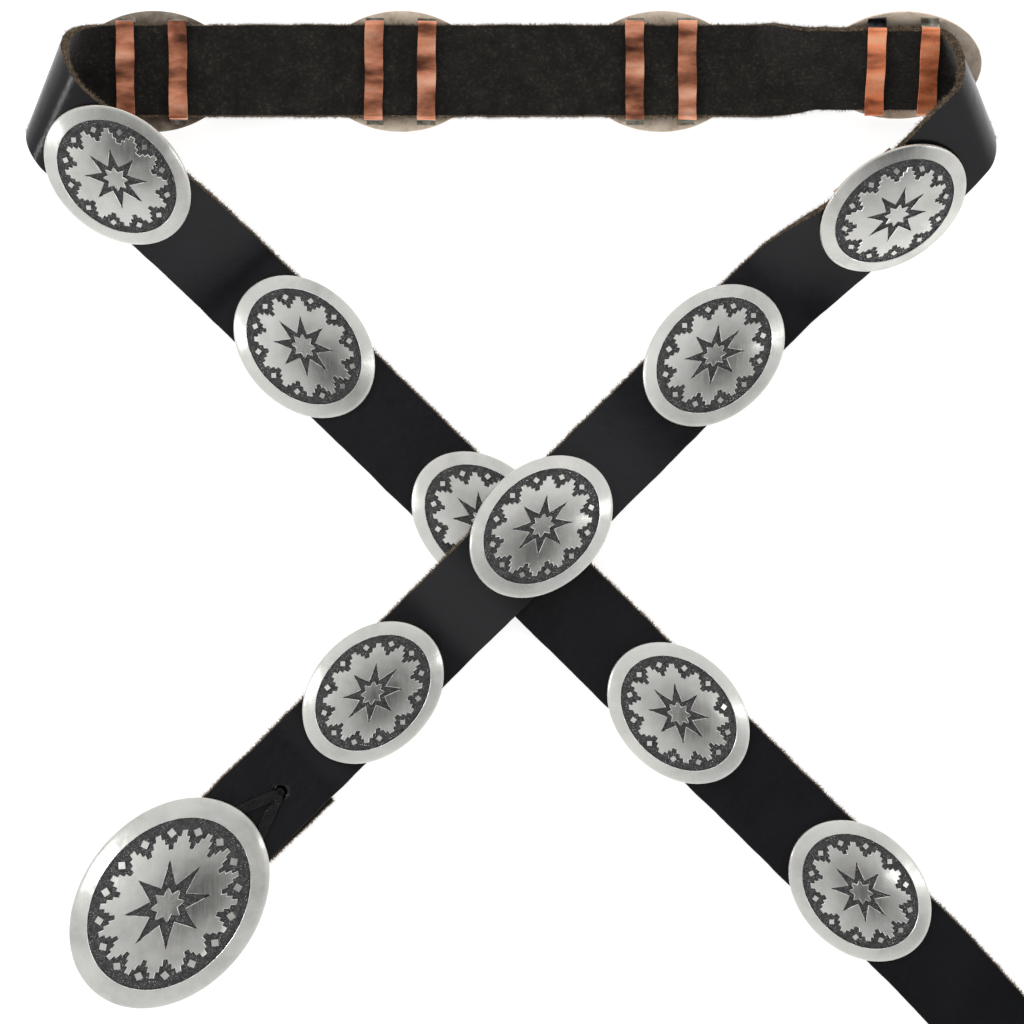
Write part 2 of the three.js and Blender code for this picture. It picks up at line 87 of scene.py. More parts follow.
# %% Sizes in millimetres
strap_width, strap_thickness, clearance = 31.75, 3.0, 0.3
ribbon_span, lower_angle, upper_angle = 340.6, 44.4, 44.7
concho_length, concho_width, concho_height = 56.0, 42.2, 6.2
concho_wall, concho_edge, recess_depth = 1.2, 1.0, 0.5
loop_width, loop_spacing, loop_thickness = 6.4, 18.3, 0.8
loop_slack, loop_side_play, loop_foot, solder_depth = 1.0, 0.6, 1.8, 0.1
buckle_length, buckle_width, buckle_height, buckle_wall = 81.0, 60.8, 8.6, 1.5
buckle_yaw, buckle_shift = 5.6, 2.2
bar_thickness, bar_offset = 2.4, 10.0
hook_width, hook_thickness, hook_length, hook_offset = 8.0, 1.8, 14.0, 14.0
turnback_length, turnback_shift, rise_lead = 55.0, 1.2, 8.0
lace_hole, lace_offset, lace_shift = 4.6, 44.4, 1.9
lace_thickness, lace_width, lace_reach, lace_spread = 1.2, 4.0, 17.0, 20.0
tip_rounding, tip_shift = 9.0, 3.6
seat_margin = 1.0
left_roll = dict(side=-1, start=0.864, reach=10.5, rise=14.0, slope_in=0, slope_out=20)
right_roll = dict(side=1, start=0.889, reach=6.4, rise=12.5, slope_in=35.5, slope_out=36)

half_span, half_thickness = ribbon_span / 2, strap_thickness / 2
crossing_sine = math.sin(math.radians(lower_angle + upper_angle))
lower_reach = ribbon_span * math.sin(math.radians(upper_angle)) / crossing_sine
upper_reach = ribbon_span * math.sin(math.radians(lower_angle)) / crossing_sine

floor_level = loop_thickness + clearance + half_thickness
concho_top = loop_thickness + strap_thickness + 2 * clearance + loop_slack + concho_height
cross_level = concho_top + 2 * clearance + loop_thickness + half_thickness
run_level = concho_height + clearance + half_thickness
cross_climb = 6
print("the arms cross", round(lower_reach, 1), "mm down the lower arm")


# %% [markdown]
# ### Stations, bends and rolls
#
# `seat` makes a level or tipped station, `bridge` joins two stations with a smooth
# cubic curve, and `roll` goes round a fold. A fold that turns a strap by an angle is a
# cylinder whose axis halves that angle, which is why its lines are slanted.

# %% Stations, bends and rolls
class Station:
    def __init__(self, centre, along, across, slant=0.0):
        self.centre, self.along, self.across = Vector(centre), Vector(along), Vector(across)
        self.slant = slant

    def shifted(self, distance):
        return Station(self.centre + self.along * distance, self.along, self.across, self.slant)

    def face(self):
        return self.across.cross(self.along).normalized()


def seat(centre, heading, climb, tilt, smooth_up):
    turn, lift, lean = (math.radians(value) for value in (heading, climb, tilt))
    along = Vector((math.cos(turn) * math.cos(lift), math.sin(turn) * math.cos(lift), math.sin(lift)))
    side = 1 if smooth_up else -1
    level = Vector((math.sin(turn) * side, -math.cos(turn) * side, 0))
    up = level.cross(along) * side
    return Station(centre, along, level * math.cos(lean) + up * math.sin(lean))


def bridge(start, end, pitch):
    gap = (end.centre - start.centre).length
    steps = math.ceil(gap / pitch) + 1
    p0, p3 = start.centre, end.centre
    p1, p2 = p0 + start.along * gap / 3, p3 - end.along * gap / 3
    found = []
    for step in range(1, steps + 1):
        t = step / steps
        s = 1 - t
        point = p0 * s**3 + p1 * 3 * s * s * t + p2 * 3 * s * t * t + p3 * t**3
        along = ((p1 - p0) * s * s + (p2 - p1) * 2 * s * t + (p3 - p2) * t * t).normalized()
        across = start.across.lerp(end.across, t * t * (3 - 2 * t))
        across = (across - along * across.dot(along)).normalized()
        found.append(Station(point, along, across, start.slant + (end.slant - start.slant) * t))
    return found


def roll(fold, entry, arm_angle, steps=40):
    axis_angle = math.radians((180 - arm_angle) / 2)
    axis = Vector((fold["side"] * math.cos(axis_angle), -math.sin(axis_angle), 0))
    outward = Vector((fold["side"] * math.sin(axis_angle), math.cos(axis_angle), 0))
    up = Vector((0, 0, 1))
    found, arc, last = [], 0.0, Vector((0, 0))
    for step in range(steps + 1):
        share = step / steps
        angle = share * math.pi
        section = Vector((fold["reach"] * math.sin(angle), fold["rise"] * (1 - math.cos(angle))))
        arc += (section - last).length
        last = section
        offset = outward * section.x + up * section.y + axis * (arc / math.tan(axis_angle))
        slope = Vector((fold["reach"] * math.cos(angle), fold["rise"] * math.sin(angle))).normalized()
        around = outward * slope.x + up * slope.y
        along = axis * math.cos(axis_angle) + around * math.sin(axis_angle)
        across = around * math.cos(axis_angle) - axis * math.sin(axis_angle)
        tip = math.radians(fold["slope_in"] + (fold["slope_out"] - fold["slope_in"]) * share)
        turn = Matrix.Rotation(tip, 3, "X")
        slant = -fold["side"] * (math.pi / 2 - axis_angle)
        found.append(Station(entry + turn @ offset, turn @ along * fold["side"], turn @ across, slant))
    return found


def rest_height(tilt):
    sine, cosine = math.sin(math.radians(tilt)), math.cos(math.radians(tilt))
    rise = concho_height - concho_edge
    share = min(1, concho_width / 2 * sine / (2 * rise * cosine))
    depth = half_thickness + clearance + concho_edge + rise * (1 - share * share)
    return concho_width / 2 * share * sine + depth * cosine


def lower_arm(distance):
    turn = math.radians(lower_angle)
    centre = (distance * math.cos(turn) - half_span, -distance * math.sin(turn), floor_level)
    return seat(centre, 180 - lower_angle, 0, 0, True)


def upper_arm(distance, height, climb=0):
    turn = math.radians(upper_angle)
    centre = (half_span - distance * math.cos(turn), -distance * math.sin(turn), height)
    return seat(centre, 180 + upper_angle, climb, 0, True)


# %% [markdown]
# ### Where the conchos sit
#
# The conchos hold the strap flat where they sit, so each one is a straight seat and
# the leather bends only between them. The rows give a share of the way down an arm or
# along the top run, and a small turn in degrees, because hand laid conchos never line
# up exactly.

# %% Where the conchos sit
seats = {}
for name, share, yaw in [
    ("concho_10", 0.572, -1.5),
    ("concho_11", 0.936, 1),
    ("concho_12", 1.3335, 0),
    ("concho_13", 1.703, 0.5),
]:
    seats[name] = (lower_arm(share * lower_reach), yaw)
for name, share, yaw, level, climb in [
    ("concho_03", 0.59, 0.5, floor_level, 0),
    ("concho_02", 0.947, -0.5, cross_level, cross_climb),
    ("concho_01", 1.291, 1, floor_level, 0),
]:
    height = level - loop_spacing / 2 * math.sin(math.radians(climb))
    seats[name] = (upper_arm(share * upper_reach, height, climb), yaw)
for name, share, yaw in [
    ("concho_08", -0.735, -0.5),
    ("concho_07", -0.228, 0.5),
    ("concho_06", 0.304, 0),
]:
    seats[name] = (seat((share * half_span, 0, run_level), 0, 0, 0, False), yaw)

# concho_05 rests on its rim and tips the strap, where the right fold begins.
run_corner_share, run_corner_yaw = 0.792, -0.5
corner_height = rest_height(right_roll["slope_in"])
left_stations = roll(left_roll, Vector((-left_roll["start"] * half_span, 0, run_level)), lower_angle)
right_stations = roll(right_roll, Vector((right_roll["start"] * half_span, 0, corner_height)), upper_angle)
run_corner = (run_corner_share * half_span, 0, corner_height)
seats["concho_05"] = (seat(run_corner, 0, 0, right_roll["slope_in"], False), run_corner_yaw)

# The conchos where the arms leave the folds. x and y are shares of half the span, and
# drop is how much of the fold's height is lost by then. The angles are in degrees.
fold_seats = {
    "concho_09": dict(
        fold=left_stations, x=-0.794, y=-0.217, drop=0.16, heading=180 - lower_angle + 3, climb=12, tilt=15
    ),
    "concho_04": dict(
        fold=right_stations, x=0.769, y=-0.276, drop=0.42, heading=180 + upper_angle - 7, climb=-13, tilt=31
    ),
}
for name, at in fold_seats.items():
    height = floor_level + (at["fold"][-1].centre.z - floor_level) * (1 - at["drop"])
    centre = (at["x"] * half_span, at["y"] * half_span, height)
    seats[name] = (seat(centre, at["heading"], at["climb"], at["tilt"], True), 0)
print("seats:", len(seats))

# %% [markdown]
# ### From tip to turned back end
#
# The path starts at the free tip, passes every seat, rises over the turned back end,
# wraps the buckle's bar and comes back underneath.

# %% The strap's stations
loop_seat = (loop_spacing + loop_width) / 2 + seat_margin
full_seat = concho_length / 2 + seat_margin
tip_share, buckle_share = 2.158, 1.7175
buckle_distance = buckle_share * upper_reach
bar_distance = buckle_distance - bar_offset
wrap_radius = bar_thickness * math.sqrt(0.5) + clearance + half_thickness
upper_layer = half_thickness + strap_thickness + clearance
bar_height = half_thickness + wrap_radius
buckle_rim = upper_layer + half_thickness + clearance + lace_thickness + clearance
rounded_tip_shares = (0.02, 0.06, 0.13, 0.22, 0.34, 0.5, 0.7, 1.0)
wrap_steps, longest_step = 16, 2.5


def tip_station(distance):
    at = lower_arm(tip_share * lower_reach - distance)
    at.centre -= at.across * tip_shift
    return at


def lace_station(height):
    at = upper_arm(bar_distance - lace_offset, height)
    at.centre -= at.across * lace_shift
    return at


def strap_path(pitch):
    path = [tip_station(0)]

    def go(to):
        path.extend(bridge(path[-1], to, pitch))

    def place(name, offset):
        return seats[name][0].shifted(offset)

    def over(reach, *names):
        for name in names:
            go(place(name, -reach))
            go(place(name, reach))

    for share in rounded_tip_shares:
        path.append(tip_station(share * tip_rounding))
    over(full_seat, "concho_13", "concho_12", "concho_11", "concho_10")
    over(loop_seat, "concho_09")
    go(left_stations[-1])
    path.extend(left_stations[-2::-1])
    go(place("concho_08", -loop_seat))
    for name in ("concho_08", "concho_07", "concho_06"):
        go(place(name, full_seat))
    go(place("concho_05", -full_seat))
    go(place("concho_05", 0))
    go(right_stations[0])
    path.extend(right_stations[1:])
    over(loop_seat, "concho_04")
    over(full_seat, "concho_03")
    over(loop_seat, "concho_02")
    go(upper_arm(upper_reach + concho_width / 4, cross_level, -cross_climb))
    go(place("concho_01", -full_seat))
    go(place("concho_01", full_seat - rise_lead))
    go(upper_arm(bar_distance - turnback_length - clearance, upper_layer))
    go(upper_arm(bar_distance - lace_offset + lace_reach + lace_width, upper_layer))
    go(upper_arm(bar_distance, bar_height + wrap_radius))
    middle = upper_arm(bar_distance, bar_height)
    down = Vector((0, 0, -1))
    for step in range(1, wrap_steps + 1):
        angle = step / wrap_steps * math.pi
        centre = middle.centre + middle.along * wrap_radius * math.sin(angle)
        centre -= down * wrap_radius * math.cos(angle)
        along = middle.along * math.cos(angle) + down * math.sin(angle)
        path.append(Station(centre, along, middle.across))
    end = path[-1].shifted(turnback_length)
    end.centre -= end.across * turnback_shift
    go(end)
    return path


path = strap_path(longest_step)
arc = [0.0]
for before, after in zip(path, path[1:]):
    arc.append(arc[-1] + (after.centre - before.centre).length)
print("stations:", len(path), "strap length in mm:", round(arc[-1]))

# The layout's own middle goes to the frame's origin. One concho of the run shows how
# far the frame moved it.
low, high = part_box("concho_07")
anchor = seats["concho_07"][0].centre
shift = Vector((((low.x + high.x) / 2) * 1000 - anchor.x, ((low.y + high.y) / 2) * 1000 - anchor.y, 0))
print("layout moved by, in mm:", [round(value, 2) for value in shift])

# %% [markdown]
# ## Camera
#
# The photograph was taken from straight above, with a long lens: the conchos at the
# frame's edges show no side. The camera stands 1.4 m up and its lens takes in
# 357 mm of the strap's level, which is the photograph's width at the belt's real size.
# The plain Standard colour view keeps the white surface white and the copper warm.

# %% Camera
def placed(name, data):
    """A new object, linked to the scene."""
    made = bpy.data.objects.new(name, data)
    bpy.context.scene.collection.objects.link(made)
    return made


view_width, view_height, view_level, view_down = 357.3, 1400.0, 4.0, 153.5
camera_data = bpy.data.cameras.new("photo_camera")
camera_data.sensor_width = 36.0
camera_data.lens = camera_data.sensor_width * (view_height - view_level) / view_width
camera_data.clip_start, camera_data.clip_end = 0.05, 20.0
camera = placed("photo_camera", camera_data)
camera.location = (shift.x / 1000, (shift.y - view_down) / 1000, view_height / 1000)
bpy.context.scene.camera = camera
bpy.context.scene.view_settings.view_transform = "Standard"
print("lens in mm:", round(camera_data.lens, 1))

# %% [markdown]
# ## Helpers for materials
#
# Every finish is a Principled shader with noise for its colour, gloss and relief. All
# patterns read Object coordinates in metres, so a noise scale of 1000 has features of
# about a millimetre. These helpers only save typing.

# %% Helpers for nodes
def add_node(tree, kind, inputs=None, **settings):
    """A node with its settings and the inputs that no link feeds."""
    node = tree.nodes.new(kind)
    for name, value in settings.items():
        setattr(node, name, value)
    for socket, value in (inputs or {}).items():
        node.inputs[socket].default_value = value
    return node


def wire(tree, *rows):
    """Join sockets. A row holds a node, its output, the next node and its input."""
    for source, output, target, socket in rows:
        tree.links.new(source.outputs[output], target.inputs[socket])


# %% Helpers for materials
class Finish:
    def __init__(self, name, **constants):
        self.material = bpy.data.materials.new(name)
        self.material.use_nodes = True
        self.tree = self.material.node_tree
        self.links = self.tree.links
        self.shader = self.tree.nodes["Principled BSDF"]
        for socket, value in constants.items():
            self.shader.inputs[socket.replace("_", " ")].default_value = value
        self.coordinates = add_node(self.tree, "ShaderNodeTexCoord").outputs["Object"]

    def noise(self, scale, detail=3.0, roughness=0.55, stretch=None):
        source = self.coordinates
        if stretch:
            turn, size = stretch
            mapping = add_node(self.tree, "ShaderNodeMapping", {"Rotation": turn, "Scale": size})
            self.links.new(source, mapping.inputs["Vector"])
            source = mapping.outputs["Vector"]
        values = {"Scale": scale, "Detail": detail, "Roughness": roughness}
        node = add_node(self.tree, "ShaderNodeTexNoise", values)
        self.links.new(source, node.inputs["Vector"])
        return node.outputs["Fac"]

    def dots(self, scale):
        node = add_node(self.tree, "ShaderNodeTexVoronoi", {"Scale": scale})
        self.links.new(self.coordinates, node.inputs["Vector"])
        return node.outputs["Distance"]

    def ramp(self, source, *stops):
        node = add_node(self.tree, "ShaderNodeValToRGB")
        elements = node.color_ramp.elements
        while len(elements) < len(stops):
            elements.new(0.5)
        for element, (position, colour) in zip(elements, stops):
            element.position = position
            element.color = (*colour, 1) if len(colour) == 3 else (colour[0],) * 3 + (1,)
        self.links.new(source, node.inputs["Fac"])
        return node.outputs["Color"]

    def mix(self, share, first, second, blend="MIX"):
        node = add_node(self.tree, "ShaderNodeMix", data_type="RGBA", blend_type=blend)
        for socket, value in ((0, share), (6, first), (7, second)):
            if isinstance(value, bpy.types.NodeSocket):
                self.links.new(value, node.inputs[socket])
            else:
                node.inputs[socket].default_value = value if socket == 0 else (*value, 1)
        return node.outputs[2]

    def bump(self, source, strength, distance, under=None):
        node = add_node(self.tree, "ShaderNodeBump", {"Strength": strength, "Distance": distance})
        self.links.new(source, node.inputs["Height"])
        if under:
            self.links.new(under, node.inputs["Normal"])
        return node.outputs["Normal"]

    def set(self, **sockets):
        for socket, source in sockets.items():
            self.links.new(source, self.shader.inputs[socket.replace("_", " ")])
        return self.material


# %% [markdown]
# ## Leather finishes
#
# Latigo leather has three faces. The smooth side is dyed blue-black and has a low
# sheen with a fine grain. The flesh side is suede: matt, mottled dark brown, with loose
# fibres. The cut edges show the undyed tan middle in bright grains, but along one side
# of the arms the dye has run over the edge and keeps it dark. Finishes chosen by face
# are simpler and sharper than one shader that masks them.

# %% Leather finishes
smooth = Finish("leather_smooth", Specular_IOR_Level=0.3)
grain = smooth.noise(2200, 4, 0.65)
creases = smooth.noise(160, 5, 0.6)
tone = smooth.ramp(
    smooth.noise(28, 4, 0.6), (0.3, (0.0055, 0.0058, 0.0072)), (0.75, (0.0105, 0.0108, 0.0132))
)
leather_smooth = smooth.set(
    Base_Color=tone,
    Roughness=smooth.ramp(smooth.noise(70, 4, 0.6), (0.3, (0.13,)), (0.75, (0.22,))),
    Normal=smooth.bump(grain, 0.3, 0.00014, smooth.bump(creases, 0.3, 0.0007)),
)

suede = Finish(
    "leather_suede", Roughness=0.95, Specular_IOR_Level=0.15, Sheen_Weight=0.25, Sheen_Roughness=0.5
)
nap = suede.noise(1500, 6, 0.7)
patches = suede.ramp(
    suede.noise(120, 6, 0.7), (0.35, (0.009, 0.008, 0.0066)), (0.72, (0.036, 0.031, 0.024))
)
specks = suede.ramp(suede.noise(900, 5, 0.75), (0.52, (0.55,)), (0.72, (2.4,)))
leather_suede = suede.set(
    Base_Color=suede.mix(1.0, patches, specks, "MULTIPLY"),
    Normal=suede.bump(nap, 0.8, 0.0004, suede.bump(suede.noise(300, 4), 0.5, 0.0008)),
)


def raw_edge(name, dark, middle, light):
    raw = Finish(name, Roughness=0.9, Specular_IOR_Level=0.2)
    tone = raw.ramp(raw.noise(1300, 6, 0.75), (0.36, dark), (0.52, middle), (0.7, light))
    return raw.set(Base_Color=tone, Normal=raw.bump(raw.noise(1800, 5, 0.7), 0.9, 0.0004))


leather_edge = raw_edge("leather_edge", (0.02, 0.015, 0.011), (0.085, 0.062, 0.042), (0.34, 0.25, 0.155))
# Painted shade: the lace hole's wall gets a near black colour, for the shade inside the hole.
hole_wall_painted_shade = raw_edge("hole_wall_painted_shade", (0.004, 0.004, 0.004), (0.02, 0.016, 0.012), (0.2, 0.15, 0.1))
leather_edge_dyed = raw_edge(
    "leather_edge_dyed", (0.006, 0.005, 0.005), (0.012, 0.01, 0.009), (0.04, 0.03, 0.023)
)

fuzz = Finish("leather_fuzz", Roughness=0.9, Specular_IOR_Level=0.2)
leather_fuzz = fuzz.set(
    Base_Color=fuzz.ramp(fuzz.noise(500, 2), (0.3, (0.06, 0.045, 0.032)), (0.7, (0.38, 0.29, 0.2)))
)
print("leather finishes:", leather_smooth.name, leather_suede.name, leather_edge.name, leather_fuzz.name)

# %% [markdown]
# ## Metal finishes
#
# The conchos are overlay work: a plain silver sheet with cut outs is soldered over a
# second sheet, whose surface is punched with dots and then blackened. The top sheet is
# left satin, so it mirrors softly and shows fine scratches. Its sawn edges are brighter,
# partly painted highlight. The backs have never been polished. They are a pale tan grey,
# and one is darker. The loops are copper strip, clouded by the heat of soldering, with
# lighter and darker bands that are partly painted reflection. On one concho the loops
# are a paler copy, painted light where the roll shades them. Their ends sit in bright
# solder, or fire dark solder on one loop.

# %% Metal finishes
satin = Finish("silver_satin", Metallic=1.0)
scratches = satin.noise(900, 5, 0.7, ((0, 0, 0.9), (1.0, 0.08, 1.0)))
tarnish = satin.ramp(
    satin.noise(42, 5, 0.62),
    (0.3, (0.5, 0.498, 0.472)), (0.5, (0.66, 0.658, 0.628)), (0.75, (0.77, 0.765, 0.732)),
)
warm_stain = satin.ramp(satin.noise(95, 4, 0.6), (0.58, (0.0,)), (0.76, (0.3,)))
silver_satin = satin.set(
    Base_Color=satin.mix(warm_stain, tarnish, (0.6, 0.52, 0.44)),
    Roughness=satin.ramp(scratches, (0.3, (0.19,)), (0.7, (0.3,))),
    Normal=satin.bump(scratches, 0.06, 0.0001, satin.bump(satin.noise(60, 2), 0.4, 0.0012)),
)

black = Finish("silver_blackened", Metallic=0.6, Roughness=0.55)
black_tone = black.ramp(
    black.noise(600, 5, 0.7), (0.35, (0.032, 0.033, 0.034)), (0.7, (0.1, 0.101, 0.102))
)
silver_blackened = black.set(Base_Color=black_tone, Normal=black.bump(black.dots(1700), 0.8, 0.0003))

# Painted highlight: the bevels on the sawn edges get a brighter silver than the satin, on top of the light
# that they catch.
sawn = Finish("silver_cut_painted_highlight", Metallic=1.0, Roughness=0.3)
silver_cut_painted_highlight = sawn.set(
    Base_Color=sawn.ramp(sawn.noise(500, 4), (0.35, (0.55, 0.55, 0.53)), (0.6, (0.97, 0.97, 0.95)))
)

worn = Finish("silver_dots", Metallic=0.9, Roughness=0.35)
silver_dots = worn.set(
    Base_Color=worn.ramp(worn.noise(260, 4), (0.35, (0.07, 0.07, 0.072)), (0.68, (0.6, 0.6, 0.59)))
)


def unpolished(name, dark, middle, light):
    back = Finish(name, Metallic=0.15)
    return back.set(
        Base_Color=back.ramp(back.noise(190, 6, 0.7), (0.28, dark), (0.5, middle), (0.7, light)),
        Roughness=back.ramp(back.noise(300, 4), (0.3, (0.42,)), (0.7, (0.6,))),
        Normal=back.bump(back.noise(700, 4), 0.3, 0.0002),
    )


silver_back = unpolished("silver_back", (0.55, 0.43, 0.33), (0.92, 0.76, 0.6), (1.0, 0.9, 0.78))
silver_back_dark = unpolished(
    "silver_back_dark", (0.15, 0.12, 0.09), (0.34, 0.28, 0.22), (0.6, 0.52, 0.43)
)


def copper(name, metallic, dull, red, orange, pink):
    strip = Finish(name, Metallic=metallic)
    across_bands = ((0, 0, 0), (0.4, 1.0, 1.0))
    # Heat stain and painted reflection: the light and dark bands across the strip stand in partly for
    # reflections on bent copper.
    stain_and_painted_sheen = strip.ramp(
        strip.noise(150, 3, 0.5, across_bands), (0.34, dull), (0.44, red), (0.56, orange), (0.68, pink)
    )
    waves = strip.bump(strip.noise(110, 1, 0.4, across_bands), 0.8, 0.0018)
    return strip.set(
        Base_Color=stain_and_painted_sheen,
        Roughness=strip.ramp(strip.noise(500, 5, 0.7), (0.3, (0.16,)), (0.7, (0.32,))),
        Normal=strip.bump(strip.noise(1300, 3, 0.5), 0.05, 0.0001, waves),
    )


copper_strip = copper(
    "copper_strip", 0.75, (0.13, 0.046, 0.026), (0.42, 0.15, 0.08), (0.84, 0.335, 0.195), (1.0, 0.52, 0.35)
)
# Painted light: a paler, less metallic copy of the copper, for the loops of one concho that lie in the
# shade of the nearby roll.
copper_painted_light = copper(
    "copper_painted_light", 0.3, (0.3, 0.08, 0.035), (0.68, 0.2, 0.085), (1.0, 0.33, 0.15), (1.0, 0.44, 0.24)
)


def solder(name, dark, light):
    joint = Finish(name, Metallic=0.9, Roughness=0.42)
    return joint.set(
        Base_Color=joint.ramp(joint.noise(330, 4), (0.35, dark), (0.65, light)),
        Normal=joint.bump(joint.noise(900, 4), 0.6, 0.0003),
    )


solder_bright = solder("solder_bright", (0.2, 0.19, 0.16), (0.66, 0.64, 0.58))
solder_dark = solder("solder_dark", (0.012, 0.013, 0.018), (0.1, 0.1, 0.115))

thong = Finish("lace_black", Roughness=0.1, Specular_IOR_Level=0.2)
lace_black = thong.set(
    Base_Color=thong.ramp(
        thong.noise(300, 4), (0.3, (0.0025, 0.0026, 0.0032)), (0.7, (0.008, 0.0085, 0.01))
    ),
    Normal=thong.bump(thong.noise(900, 3, 0.6), 1.0, 0.0006),
)
print("metal finishes:", silver_satin.name, silver_blackened.name, copper_strip.name, solder_bright.name)

# %% [markdown]
# ## Helpers for meshes
#
# A piece is worked out in millimetres and turned to metres when it is added. Its object
# stays at the origin, and its place is in its vertices. Faces are shaded smooth, but an
# edge sharper than the crease angle stays crisp.

# %% Helpers for meshes
def make_mesh(name, points, faces, materials, choice=None, crease=35):
    mesh = bpy.data.meshes.new(name)
    mesh.from_pydata([tuple(point) for point in points], [], faces)
    for material in materials:
        mesh.materials.append(material)
    mesh.polygons.foreach_set("material_index", choice or [0] * len(faces))
    mesh.polygons.foreach_set("use_smooth", [True] * len(faces))
    edit = bmesh.new()
    edit.from_mesh(mesh)
    bmesh.ops.recalc_face_normals(edit, faces=edit.faces)
    edit.to_mesh(mesh)
    edit.free()
    mesh.set_sharp_from_angle(angle=math.radians(crease))
    return mesh


def add_piece(name, mesh, *nodes, slot):
    mesh.transform(Matrix.Scale(0.001, 4))
    mesh.update()
    piece = placed(name, mesh)
    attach(piece, "root")
    if nodes:
        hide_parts(*nodes)
    return piece


def evaluated_mesh(piece):
    graph = bpy.context.evaluated_depsgraph_get()
    return bpy.data.meshes.new_from_object(piece.evaluated_get(graph))


def loft(rings, closed_ends=True):
    """Points and faces of a tube through rings with equal numbers of points."""
    count = len(rings[0])
    points = [point for ring in rings for point in ring]
    faces = []
    for start in range(0, (len(rings) - 1) * count, count):
        for index in range(count):
            a, b = start + index, start + (index + 1) % count
            faces.append((a, b, b + count, a + count))
    if closed_ends:
        faces.append(tuple(reversed(range(count))))
        faces.append(tuple(range((len(rings) - 1) * count, len(rings) * count)))
    return points, faces


# %% [markdown]
# ## The strap
#
# The strap is one long strip. Its cross section is a rectangle with slightly rounded
# corners, swept along the stations, with 12 steps across each face so that the rolls
# shade smoothly. The edges were cut by hand, so they waver by a tenth of a millimetre.

# %% The strap's mesh
def tip_half_width(distance):
    if distance >= tip_rounding:
        return strap_width / 2
    share = 1 - distance / tip_rounding
    return strap_width / 2 - tip_rounding * (1 - math.sqrt(max(0.0, 1 - share * share)))


SMOOTH, EDGE, SUEDE, DYED_EDGE = 0, 1, 2, 3
face_steps, edge_line = 12, 0.55
corner_cut, corner_drop = 0.33, 0.05
right_waver, left_waver = 0.2, 0.12
section = [(-1 + 2 * index / face_steps, 1, SMOOTH) for index in range(face_steps + 1)]
section += [(1, edge_line, EDGE), (1, -edge_line, EDGE)]
section += [(1 - 2 * index / face_steps, -1, SUEDE) for index in range(face_steps + 1)]
section += [(-1, -edge_line, EDGE), (-1, edge_line, EDGE)]

random = np.random.default_rng(7)
wavers = [np.convolve(random.normal(0, 1, (len(path) + 8)), np.ones(3) / 3, "same") for side in (1, -1)]
rings = []
for row, at in enumerate(path):
    face = at.face()
    half = tip_half_width(arc[row])
    ruling = at.across + at.along * math.tan(at.slant)
    ring = []
    for across, lift, kind in section:
        on_corner = abs(across) == 1 and abs(lift) == 1
        edge_waver = right_waver * wavers[0][row] if across > 0 else left_waver * wavers[1][row]
        reach = across * (half + edge_waver - (corner_cut if on_corner else 0))
        height = half_thickness * lift - (math.copysign(corner_drop, lift) if on_corner else 0)
        ring.append(at.centre + shift + ruling * reach + face * height)
    rings.append(ring)
print("rings:", len(rings), "points in each:", len(section))

# %% [markdown]
# Where a rolled fold meets a straight seat the stations make a slight kink. Real leather
# is too stiff for that, so the rings near both folds are averaged with their neighbours
# a few times. The buckle's wrap is left out, because its bend is tight on purpose.

# %% Folds eased
easing_reach, easing_rounds = 25, 16
rolled = {id(at) for at in left_stations + right_stations}
in_fold = [1.0 if id(at) in rolled else 0.0 for at in path]
near_fold = np.convolve(in_fold, np.ones(easing_reach), "same") > 0
near_fold[[0, -1]] = False
eased = np.array([[tuple(point) for point in ring] for ring in rings])
for step in range(easing_rounds):
    middle = (eased[:-2] + eased[2:]) / 2
    eased[1:-1][near_fold[1:-1]] = (eased[1:-1] + middle)[near_fold[1:-1]] / 2
strap_points, strap_faces = loft([[Vector(point) for point in ring] for ring in eased])
kinds = []
for row in range(len(rings) - 1):
    smooth_up = path[row].face().z > 0.3
    for index in range(len(section)):
        a, b = section[index], section[(index + 1) % len(section)]
        if a[2] == b[2] != EDGE:
            kinds.append(a[2])
        else:
            kinds.append(DYED_EDGE if smooth_up and a[0] + b[0] < 0 else EDGE)
kinds += [EDGE, EDGE]
strap_mesh = make_mesh(
    "strap_leather", strap_points, strap_faces,
    [leather_smooth, leather_edge, leather_suede, leather_edge_dyed], kinds,
)
print("strap faces:", len(strap_faces), "eased rows:", int(near_fold.sum()))

# %% [markdown]
# The lace hole goes through both layers near the buckle. Its mouth is worn a little
# wider. Its wall is painted nearly black, with a little tan in it: painted shade for the
# dark inside of the hole. A Boolean cut is the shortest way to a clean round hole, and the
# cutter is thrown away afterwards.

# %% The lace hole
def level_circle(centre, radius, height, count=28):
    angles = [2 * math.pi * k / count for k in range(count)]
    return [centre + Vector((radius * math.cos(a), radius * math.sin(a), height)) for a in angles]


mouth_wear, mouth_depth, past_strap = 0.15, 0.4, 20
hole_middle = lace_station(0).centre + shift
hole_top = upper_layer + half_thickness
cutter_rows = [
    (0, -past_strap),
    (0, hole_top - mouth_depth),
    (mouth_wear, hole_top),
    (mouth_wear, hole_top + past_strap),
]
cutter_rings = [level_circle(hole_middle, lace_hole / 2 + wider, level) for wider, level in cutter_rows]
points, faces = loft(cutter_rings)
cutter_mesh = make_mesh("lace_hole_cutter", points, faces, [hole_wall_painted_shade])
strap_object = placed("strap_cutting", strap_mesh)
cutter = placed("lace_hole_cutter", cutter_mesh)
hole = strap_object.modifiers.new("hole", "BOOLEAN")
hole.operation, hole.object, hole.solver, hole.material_mode = "DIFFERENCE", cutter, "EXACT", "TRANSFER"
holed = evaluated_mesh(strap_object)
bpy.data.objects.remove(strap_object)
bpy.data.objects.remove(cutter)
strap_piece = add_piece("strap_leather", holed, "strap", slot="leather")
print("strap with its hole, faces:", len(holed.polygons))

